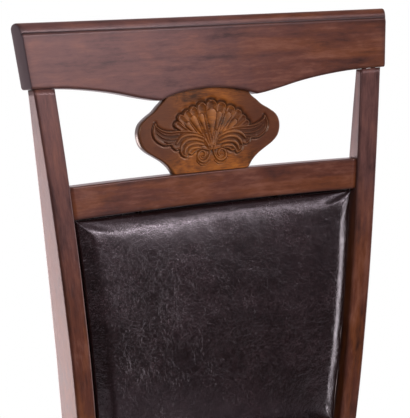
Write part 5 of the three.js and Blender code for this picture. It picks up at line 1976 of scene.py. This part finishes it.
@dataclass
class Seat:
    """The padded seat cover, pulled over its board and notched round the rear legs."""

    frame: SeatFrame
    finishes: Finishes
    board_thickness: float = 12 * MM
    overhang: float = 2 * MM
    edge_height: float = 24 * MM
    crown: float = 11 * MM
    edge_radius: float = 22 * MM
    corner_radius: float = 34 * MM
    notch_gap: float = 1.4 * MM
    front_bow: float = 5 * MM
    draw_in: float = 2 * MM
    columns: int = 88
    rows: int = 84
    notch_rows: int = 12
    stuffing: Stuffing = Stuffing(pressure=3.0, cap=3.2 * MM)

    def build(self) -> None:
        """Builds and dresses the cover."""
        fr, space, legs = self.frame, self.frame.space, self.frame.space.legs
        rear = fr.rear_rail_front + fr.rail_thickness
        height, toe = np.array(fr.height), math.tan(legs.toe_in)
        inner = legs.point(Side.RIGHT, height, legs.width_seat, 0)
        notch_y, front_edge = float(inner[1]) - self.notch_gap, space.front_face - self.overhang
        near, even = np.linspace(0, 1, self.notch_rows) * (rear - notch_y), np.linspace(0, 1, self.rows)
        ahead = mix((np.sin((even - 0.5) * math.pi) + 1) / 2, even, 0.5)
        u = eased(self.columns, 0.7)[None, :]
        bow = self.front_bow * (1 - u * u)
        tail = (rear - near)[:, None] * np.ones_like(u)
        notch_x = float(inner[0]) + (tail - float(inner[1])) * toe - self.notch_gap
        wide = np.abs(u) * fr.half_at(notch_y, -self.overhang)
        edge = notch_y - np.maximum(wide - notch_x[-1], 0) * toe
        body = edge + (front_edge - bow - edge) * ahead[:, None]
        y = np.concatenate([tail[:-1], tail[-1:] + 0.3 * MM, body])
        from_front = y - (front_edge - bow)
        across = 1 - 2 * (y - front_edge) / (rear - front_edge)
        draw = self.draw_in * (1 - np.clip(across, -1, 1) ** 4)
        half = fr.half_at(y, -self.overhang) - draw - round_off(from_front, self.corner_radius)
        half[: len(near)] = notch_x
        x = u * half
        beyond = np.where(np.abs(x) > notch_x[-1] - 1 * MM, np.abs(edge - y), 1.0)
        from_end = np.minimum(np.minimum(from_front, rear - y), beyond)
        fall = np.maximum(round_off(half * (1 - np.abs(u)), self.edge_radius), round_off(from_end, self.edge_radius))
        flat = fr.height + GLUE_LINE + self.board_thickness + self.edge_height
        dome = self.crown * (1 - (x / half.max()) ** 2) * np.clip(1 - across**2, 0, 1)
        shell, depth = slab(xyz(x, y, flat - fall + dome), xyz(x, y, fr.height + GLUE_LINE), walls=6)
        shell.values = {"depth": depth}
        behind = smooth(notch_y - 14 * MM, notch_y, shell.corners[:, 1])
        shell.corners = space.to_row(shell.corners)
        piece = shell.build("seat_cover_stuffed")
        self.stuffing.swell(piece, np.maximum(smooth(0.03, 0.25, depth), behind))
        refined(piece)
        self._soften(piece)
        self.finishes.dress(piece, Slot.LEATHERETTE, "seat_cover", "seat_foam")

    def _soften(self, piece: bpy.types.Object) -> None:
        """Adds folds under the front corners and slow unevenness on top.

        Args:
            piece: The seat cover.
        """
        points = read(piece.data.vertices, "co")
        low, high = points.min(axis=0), points.max(axis=0)
        move = 0.5 * MM * ripple(points, 0.11, 31) + 0.2 * MM * ripple(points, 0.035, 32)
        for right in (-1, 1):
            dx, dy = points[:, 0] - right * high[0], points[:, 1] - low[1]
            fan = np.cos(np.arctan2(dy, np.abs(dx)) * 16.0) * smooth(0.075, 0.02, np.hypot(dx, dy))
            move += 0.7 * MM * fan * smooth(high[2], low[2] + 10 * MM, points[:, 2])
        push(piece, move * smooth(1.0, 0.6, value_of(piece.data, "depth")))


# What repeats: staples, screws, bolts and glides


@dataclass(frozen=True)
class Spot:
    """Where a repeated piece stands: its foot, the direction of its own Z axis and its scale along it."""

    foot: Array
    axis: Array
    length: float = 1.0


def axis_of(node: str) -> Spot:
    """Where a straight CAD fixing lies, from its head to its tip.

    Args:
        node: Name of the CAD node.

    Returns:
        The head's place, the direction to the tip, and the length.
    """
    points = read(frame["nodes"][node].data.vertices, "co")
    centre = (points.min(axis=0) + points.max(axis=0)) / 2
    unique = np.unique(points.round(6), axis=0)
    _, _, axes = np.linalg.svd(unique - unique.mean(axis=0))
    along = (unique - centre) @ axes[0]
    off = np.linalg.norm(unique - centre - along[:, None] * axes[0], axis=1)
    middle = (along.min() + along.max()) / 2
    axis = axes[0] if off[along < middle].max() > off[along > middle].max() else -axes[0]
    along = (unique - centre) @ axis
    return Spot(centre + axis * along.min(), axis, float(np.ptp(along)))


@dataclass(frozen=True)
class Repeater:
    """A geometry-node tree that sets a template down at many spots, each turned a little by chance."""

    seed: int = 7
    spin: float = math.pi

    def scatter(
        self, name: str, template: Shell, spots: Sequence[Spot], material: bpy.types.Material
    ) -> bpy.types.Object:
        """Sets the template down at every spot.

        Args:
            name: Name of the piece.
            template: The shape, along +Z from the origin.
            spots: Where it stands.
            material: Material of the result.

        Returns:
            One plain mesh object.
        """
        pattern = template.build(f"{name}_pattern")
        turns = [tuple(Vector(spot.axis).to_track_quat("Z", "Y").to_euler()) for spot in spots]
        values = {"turn": np.array(turns), "stretch": np.array([spot.length for spot in spots])}
        piece = Shell(np.array([spot.foot for spot in spots]), [], values).build(name)
        tree, names = self._tree(name, material)
        modifier = piece.modifiers.new("repeat", "NODES")
        modifier.node_group = tree
        for key, value in (("Pattern", pattern), ("Spin", self.spin), ("Seed", self.seed)):
            modifier[names[key]] = value
        graph = bpy.context.evaluated_depsgraph_get()
        made = bpy.data.meshes.new_from_object(piece.evaluated_get(graph), depsgraph=graph)
        piece.modifiers.remove(modifier)
        bpy.data.objects.remove(pattern)
        piece.data, made.name = made, name
        return piece

    def _tree(self, name: str, material: bpy.types.Material) -> tuple[bpy.types.NodeTree, dict[str, str]]:
        """The node tree, and the identifiers of its inputs by name.

        Args:
            name: Name of the piece.
            material: Material of the result.

        Returns:
            The tree and the identifiers.
        """
        tree = bpy.data.node_groups.new(f"{name}_repeat", "GeometryNodeTree")
        kinds = {"Geometry": "Geometry", "Pattern": "Object", "Spin": "Float", "Seed": "Int"}
        names = {
            key: tree.interface.new_socket(key, in_out="INPUT", socket_type=f"NodeSocket{kind}").identifier
            for key, kind in kinds.items()
        }
        tree.interface.new_socket("Geometry", in_out="OUTPUT", socket_type="NodeSocketGeometry")

        def add(kind: str, **links: object) -> bpy.types.Node:
            """Adds a node with settings and links by socket name.

            Args:
                kind: Blender's type name of the node.
                **links: Settings, and values or links by socket name.

            Returns:
                The node.
            """
            node = tree.nodes.new(kind)
            for key, value in links.items():
                label = key.replace("_", " ")
                socket = next((s for s in node.inputs if s.name == label and s.enabled), None)
                if isinstance(value, bpy.types.Node):
                    value = next(s for s in value.outputs if s.enabled)
                if socket is None:
                    setattr(node, key, value)
                elif isinstance(value, bpy.types.NodeSocket):
                    tree.links.new(value, socket)
                else:
                    socket.default_value = value
            return node

        given = add("NodeGroupInput").outputs
        pattern = add("GeometryNodeObjectInfo", Object=given["Pattern"]).outputs["Geometry"]
        turn = add("GeometryNodeInputNamedAttribute", data_type="FLOAT_VECTOR", Name="turn")
        stretch = add("GeometryNodeInputNamedAttribute", data_type="FLOAT", Name="stretch")
        rotation = add("FunctionNodeEulerToRotation", Euler=turn)
        scale = add("ShaderNodeCombineXYZ", X=1.0, Y=1.0, Z=stretch)
        points = add("GeometryNodeMeshToPoints", Mesh=given["Geometry"])
        placed = add("GeometryNodeInstanceOnPoints", Points=points, Instance=pattern, Rotation=rotation, Scale=scale)
        negative = add("ShaderNodeMath", operation="MULTIPLY", Value=given["Spin"])
        negative.inputs[1].default_value = -1.0
        limits = {"Min": negative, "Max": given["Spin"]}
        angle = add("FunctionNodeRandomValue", data_type="FLOAT", Seed=given["Seed"], **limits)
        spin = add("FunctionNodeEulerToRotation", Euler=add("ShaderNodeCombineXYZ", Z=angle))
        spun = add("GeometryNodeRotateInstances", Instances=placed, Rotation=spin)
        real = add("GeometryNodeRealizeInstances", Geometry=spun)
        finished = add("GeometryNodeSetMaterial", Geometry=real, Material=material)
        tree.links.new(finished.outputs[0], add("NodeGroupOutput").inputs[0])
        return tree, names


def turned(
    profile: Sequence[tuple[float, float]], sides: int, recess: Callable[[float, float], float] | None = None
) -> Shell:
    """A round body along +Z, from pairs of radius and height.

    Args:
        profile: The pairs, from the lower end to the upper one.
        sides: How many sides it has.
        recess: How deep its lower end is recessed at an angle and a radius.

    Returns:
        The closed shell.
    """
    rings, angles = [], np.arange(sides) * 2 * math.pi / sides
    for radius, height in profile:
        deep = recess is not None and height == 0
        lift = np.array([recess(float(angle), radius) if deep else 0.0 for angle in angles])
        rings.append(xyz(radius * np.cos(angles), radius * np.sin(angles), height + lift))
    return loft(np.array(rings))


@dataclass
class Fixings:
    """Screws, bolts and glides, which stand where their CAD nodes lie."""

    finishes: Finishes
    head_radius: float = 4 * MM
    shank_radius: float = 1.9 * MM
    recess_share: float = 0.04
    bolt_head: float = 6.5 * MM
    bolt_radius: float = 2.9 * MM
    glide_radius: float = 10 * MM
    glide_height: float = 3.7 * MM

    def build(self) -> None:
        """Builds and dresses all of them."""
        for name, template, heads, slot in (
            ("wood_screws_recessed", self._screw(), ("block_screw_", "seat_screw_", "pad_screw_"), Slot.ZINCED_STEEL),
            ("corner_bolts_hex", self._bolt(), "corner_bolt_", Slot.ZINCED_STEEL),
            ("floor_glides_moulded", self._glide(), "floor_glide_", Slot.GLIDE_PLASTIC),
        ):
            nodes = [node for node in sorted(frame["nodes"]) if node.startswith(heads)]
            spots = [self._foot(node) if slot is Slot.GLIDE_PLASTIC else axis_of(node) for node in nodes]
            piece = Repeater().scatter(name, template, spots, self.finishes.materials[slot])
            piece.data.shade_flat()
            self.finishes.dress(piece, slot, *nodes)

    def _foot(self, node: str) -> Spot:
        """Where a floor glide stands."""
        low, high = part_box(node)
        return Spot(np.array([(low.x + high.x) / 2, (low.y + high.y) / 2, low.z]), np.array([0, 0, 1.0]))

    def _recess(self, angle: float, radius: float) -> float:
        """Depth of the cross recess at an angle and radius on a screw's head, as a share of the screw."""
        arm = radius < 0.55 * self.head_radius and math.cos(4 * angle) > 0.4
        return self.recess_share if arm or radius < 0.16 * self.head_radius else 0.0

    def _screw(self) -> Shell:
        """A countersunk screw of unit length with a cross recess."""
        head, shank = self.head_radius, self.shank_radius
        top = [(share * head, 0.0) for share in (0.08, 0.15, 0.2, 0.5, 0.56, 1.0)]
        return turned([*top, (head, 0.01), (shank, 0.08), (shank, 0.93), (0.2 * shank, 1.0)], 24, self._recess)

    def _bolt(self) -> Shell:
        """A hexagon bolt of unit length."""
        head, shank = self.bolt_head, self.bolt_radius
        profile = [(0.75 * head, 0.0), (head, 0.012), (head, 0.058), (shank, 0.06), (shank, 0.99), (0.8 * shank, 1.0)]
        return turned(profile, 6)

    def _glide(self) -> Shell:
        """A floor glide with a rounded foot.

        Returns:
            The closed shell.
        """
        r, h = self.glide_radius, self.glide_height
        profile = [(0.3 * r, 0.0), (0.8 * r, 0.0), (0.93 * r, 0.12 * h), (r, 0.35 * h), (r, 0.8 * h), (0.95 * r, h),
                   (0.4 * r, h), (0.14 * r, h), (0.14 * r, 4.2 * h)]
        return turned(profile, 28)


@dataclass
class DustCover:
    """The stretched non-woven cloth under the seat board, with its staples."""

    frame: SeatFrame
    finishes: Finishes
    margin: float = 1.5 * MM
    thickness: float = 0.6 * MM
    staple_pitch: float = 34 * MM
    staple_length: float = 9 * MM
    staple_inset: float = 7 * MM
    steps: int = 70

    @property
    def leg_back(self) -> float:
        """Where the cloth passes behind the front legs."""
        return self.frame.space.front_face + self.frame.leg_size + self.margin

    def _half(self, y: Array) -> Array:
        """Half the cloth's width at a place from front to back, clear of the rails and legs.

        Args:
            y: Places from front to back.

        Returns:
            The half widths.
        """
        fr, legs = self.frame, self.frame.space.legs
        half = fr.half_at(y, fr.rail_thickness + self.margin)
        rear = legs.point(Side.RIGHT, np.array(fr.height), legs.width_seat, legs.depth * 0.9)
        half = np.where(y < self.leg_back, np.minimum(half, fr.front_half - fr.leg_size - self.margin), half)
        return np.where(y > fr.rear_rail_front - 30 * MM, np.minimum(half, float(rear[0]) - self.margin - 4 * MM), half)

    def build(self) -> None:
        """Builds and dresses the cloth and its staples."""
        fr = self.frame
        start, end = fr.rear_rail_front - self.margin, fr.front_rail_back + self.margin
        y = np.unique(np.concatenate([np.linspace(end, start, self.steps), [self.leg_back - 0.2 * MM, self.leg_back]]))
        u = np.linspace(-1, 1, self.steps)[None, :]
        x, y = u * self._half(y)[:, None], y[:, None] * np.ones_like(u)
        top = fr.height - 0.05 * MM
        slack = 0.35 * MM * (1 - u**6) * (1 + 0.5 * ripple(xyz(x, y, 0.0), 0.08, 41))
        shell, _ = slab(xyz(x, y, top - slack), xyz(x, y, top - self.thickness - slack))
        shell.corners = fr.space.to_row(shell.corners)
        piece = shell.build("dust_cover_stretched")
        self.finishes.dress(piece, Slot.DUST_CLOTH, "dust_cover")
        area = float(np.trapz(2 * self._half(y[:, 0]), y[:, 0]))
        self._staples(start, end, top)

    def _staples(self, start: float, end: float, top: float) -> None:
        """Staples along the cloth's edges.

        Args:
            start: The cloth's rear edge.
            end: Its front edge.
            top: Height of its upper face.
        """
        spots: list[Spot] = []
        z = top - self.thickness - 0.3 * MM

        def along(a: Array, b: Array) -> None:
            """Adds the staples of one edge.

            Args:
                a: Where the edge begins.
                b: Where it ends.
            """
            run, length = b - a, math.dist(a, b)
            count = int(length / self.staple_pitch)
            for i in range(count):
                place = a + run * (i + 0.5) / count
                spots.append(Spot(self.frame.space.to_row(np.array([*place, z])), np.array([*(run / length), 0.0])))

        rear_y, front_y, side_y = start - self.staple_inset, end + self.staple_inset, end + 30 * MM
        rear_x, low_x, front_x = self._half(np.array([rear_y, front_y, side_y])) - self.staple_inset
        along(np.array([-rear_x, rear_y]), np.array([rear_x, rear_y]))
        along(np.array([-low_x, front_y]), np.array([low_x, front_y]))
        for side in (-1, 1):
            along(np.array([side * rear_x, rear_y - 30 * MM]), np.array([side * front_x, side_y]))
        length, r = self.staple_length, 0.45 * MM
        bar = turned([(0.3 * r, -0.5 * length), (r, -0.47 * length), (r, 0.47 * length), (0.3 * r, 0.5 * length)], 6)
        steel = Slot.ZINCED_STEEL
        piece = Repeater(spin=0.0).scatter("dust_cover_staples", bar, spots, self.finishes.materials[steel])
        self.finishes.dress(piece, steel)


# Studio


@dataclass(frozen=True)
class Softbox:
    """A soft lamp: where it stands, where it points, its size, its power and its colour."""

    name: str
    place: tuple[float, float, float]
    aim: tuple[float, float, float]
    width: float
    height: float
    power: float
    colour: Colour = (1.0, 1.0, 1.0)

    def build(self) -> None:
        """Adds the lamp."""
        lamp = bpy.data.lights.new(self.name, "AREA")
        lamp.shape, lamp.size, lamp.size_y, lamp.energy = "RECTANGLE", self.width, self.height, self.power
        lamp.color = self.colour
        holder = linked(self.name, lamp)
        holder.location = self.place
        holder.rotation_euler = (Vector(self.aim) - Vector(self.place)).to_track_quat("-Z", "Y").to_euler()


@dataclass
class Studio:
    """White surroundings, soft lamps and the camera."""

    space: Space
    lens: float = 116.757
    sensor: float = 36.0
    place: tuple[float, float, float] = (-0.73658, -1.31441, 0.22245)
    right: tuple[float, float, float] = (0.87897, -0.47663, 0.01524)
    up: tuple[float, float, float] = (0.10211, 0.21933, 0.97029)
    forward: tuple[float, float, float] = (0.46581, 0.85131, -0.24145)
    ambient: float = 0.42
    low_glow: float = 0.008
    front_glow: float = 0.4
    side_glow: float = 0.75
    back_glow: float = 0.95
    overhead_share: float = 0.35
    glow_tint: Colour = (1.0, 0.9, 0.95)
    floor_radius: float = 1.1
    lamps: tuple[Softbox, ...] = (
        Softbox("key_softbox", (2.1, -1.75, 1.6), (0.0, 0.05, 0.85), 1.6, 0.9, 8.0),
        Softbox("strip_softbox", (2.0, -1.8, 2.15), (0.0, 0.05, 0.8), 1.3, 0.26, 19.0),
        Softbox("fill_softbox", (-1.5, -2.2, 2.3), (0.0, 0.1, 0.8), 1.2, 1.0, 33.0),
        Softbox("top_softbox", (0.8, -1.2, 2.3), (0.0, 0.1, 0.8), 0.9, 0.6, 6.0),
        Softbox("rear_softbox", (-1.1, 2.6, -0.3), (0.0, 0.1, 0.7), 1.6, 1.3, 44.0, (1.0, 0.87, 0.85)),
        Softbox("low_softbox", (2.4, -0.6, 0.1), (0.1, 0.0, 0.65), 1.1, 1.0, 16.0),
    )

    def build(self) -> None:
        """Adds everything round the chair."""
        bpy.context.scene.view_settings.view_transform = "Standard"
        self._camera()
        self._world()
        self._floor()
        for lamp in self.lamps:
            lamp.build()

    def _camera(self) -> None:
        """Adds the camera at the photograph's viewing angle."""
        data = bpy.data.cameras.new("camera")
        data.lens, data.sensor_width, data.sensor_fit = self.lens, self.sensor, "AUTO"
        camera = linked("camera", data)
        axes = Matrix([self.right, self.up, [-value for value in self.forward]]).transposed()
        place = Vector(self.place) + Vector((0, self.space.shift, self.space.legs.top))
        camera.matrix_world = Matrix.Translation(place) @ axes.to_4x4()
        bpy.context.scene.camera = camera

    def _world(self) -> None:
        """White where it is seen, brighter behind the chair than before it in reflections."""
        world = bpy.data.worlds.new("white_studio")
        bpy.context.scene.world = world
        g = Graph(world)
        kinds = ("Camera", "Glossy", "Transmission")
        seen, glossy, clear = (g.node("LightPath", output=f"Is {kind} Ray") for kind in kinds)
        direction = g.node("TexCoord", output="Generated")
        x, y, z = (g.along(axis, direction) for axis in "XYZ")
        back, high = y.step(-0.1, 0.4), z.step(-0.26, 0.12)
        aside = x.step(-0.2, 0.8) * 0.75 + 0.25
        flank = x.step(0.8, 0.92) * z.step(0.15, -0.05) * self.side_glow
        front = high * aside * (self.front_glow - self.low_glow) + self.low_glow + flank
        behind = self.back_glow * (1 - z.step(0.15, 0.6) * (1 - self.overhead_share))
        mirrored = back * (behind - front) + front
        plain = glossy * (mirrored - self.ambient) + self.ambient
        strength = plain * (1 - seen) * (1 - clear) + seen + clear
        colour = g.blend(glossy, (1.0, 1.0, 1.0), self.glow_tint)
        g.show(g.node("Background", {}, colour, strength), "ShaderNodeOutputWorld")

    def _floor(self) -> None:
        """A plain pale floor that keeps the chair's shadow and fades to white."""
        rings, sides = np.linspace(0.02, 1, 24) * self.floor_radius, 64
        angles = np.arange(sides) * 2 * math.pi / sides
        corners = [xyz(r * np.cos(angles), r * np.sin(angles), 0.0) for r in rings]
        faces = [tuple(range(sides)), *quads_of(closed(np.arange(len(rings) * sides).reshape(-1, sides)))]
        mesh = bpy.data.meshes.new("floor")
        mesh.from_pydata(np.concatenate(corners).tolist(), [], faces)
        floor = linked("floor", mesh)
        g = Graph(bpy.data.materials.new("pale_floor"))
        away = g.node("VectorMath", {"operation": "LENGTH"}, g.place(), output="Value")
        seen = g.node("LightPath", output="Is Camera Ray")
        below = g.node("NewGeometry", output="Backfacing")
        pale = g.node("BsdfDiffuse", {}, (0.82, 0.82, 0.82, 1.0))
        white = g.node("Emission", {}, (1.0, 1.0, 1.0, 1.0))
        above = g.node("MixShader", {}, away.step(0.3, 1.0) * seen, pale, white)
        clear = g.node("BsdfTransparent")
        g.show(g.node("MixShader", {}, below * seen, above, clear))
        mesh.materials.append(g.owner)


def main() -> None:
    """Builds the chair's looks round its CAD frame, and the studio."""
    logging.basicConfig(level=logging.INFO, format="%(name)s: %(message)s", stream=sys.stdout)
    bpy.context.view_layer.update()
    finishes = Finishes()
    legs = RearLegLine()
    space = Space(legs, SeatFrame.height, 410 * MM, SeatFrame.rail_height / 2)
    log.info("the chair is centred by %.2f mm", space.shift / MM)
    crest = CrestRail(space, finishes)
    crest.build()
    RearLegs(space, finishes).build(crest)
    face = BackFace(space)
    rails = BackRails(face, finishes)
    rails.build()
    Medallion(face, crest, finishes).build()
    BackPad(face, rails, finishes).build()
    seat_frame = SeatFrame(space, finishes)
    seat_frame.build()
    Seat(seat_frame, finishes).build()
    DustCover(seat_frame, finishes).build()
    Fixings(finishes).build()
    for node in sorted(frame["nodes"]):
        if node.endswith("_board"):
            finishes.keep(node, Slot.PLYWOOD)
        elif "_dowel_" in node or node.startswith(("pad_pin_", "corner_block_")):
            finishes.keep(node, Slot.RAW_WOOD)
    Studio(space).build()


if __name__ == "__main__":
    main()
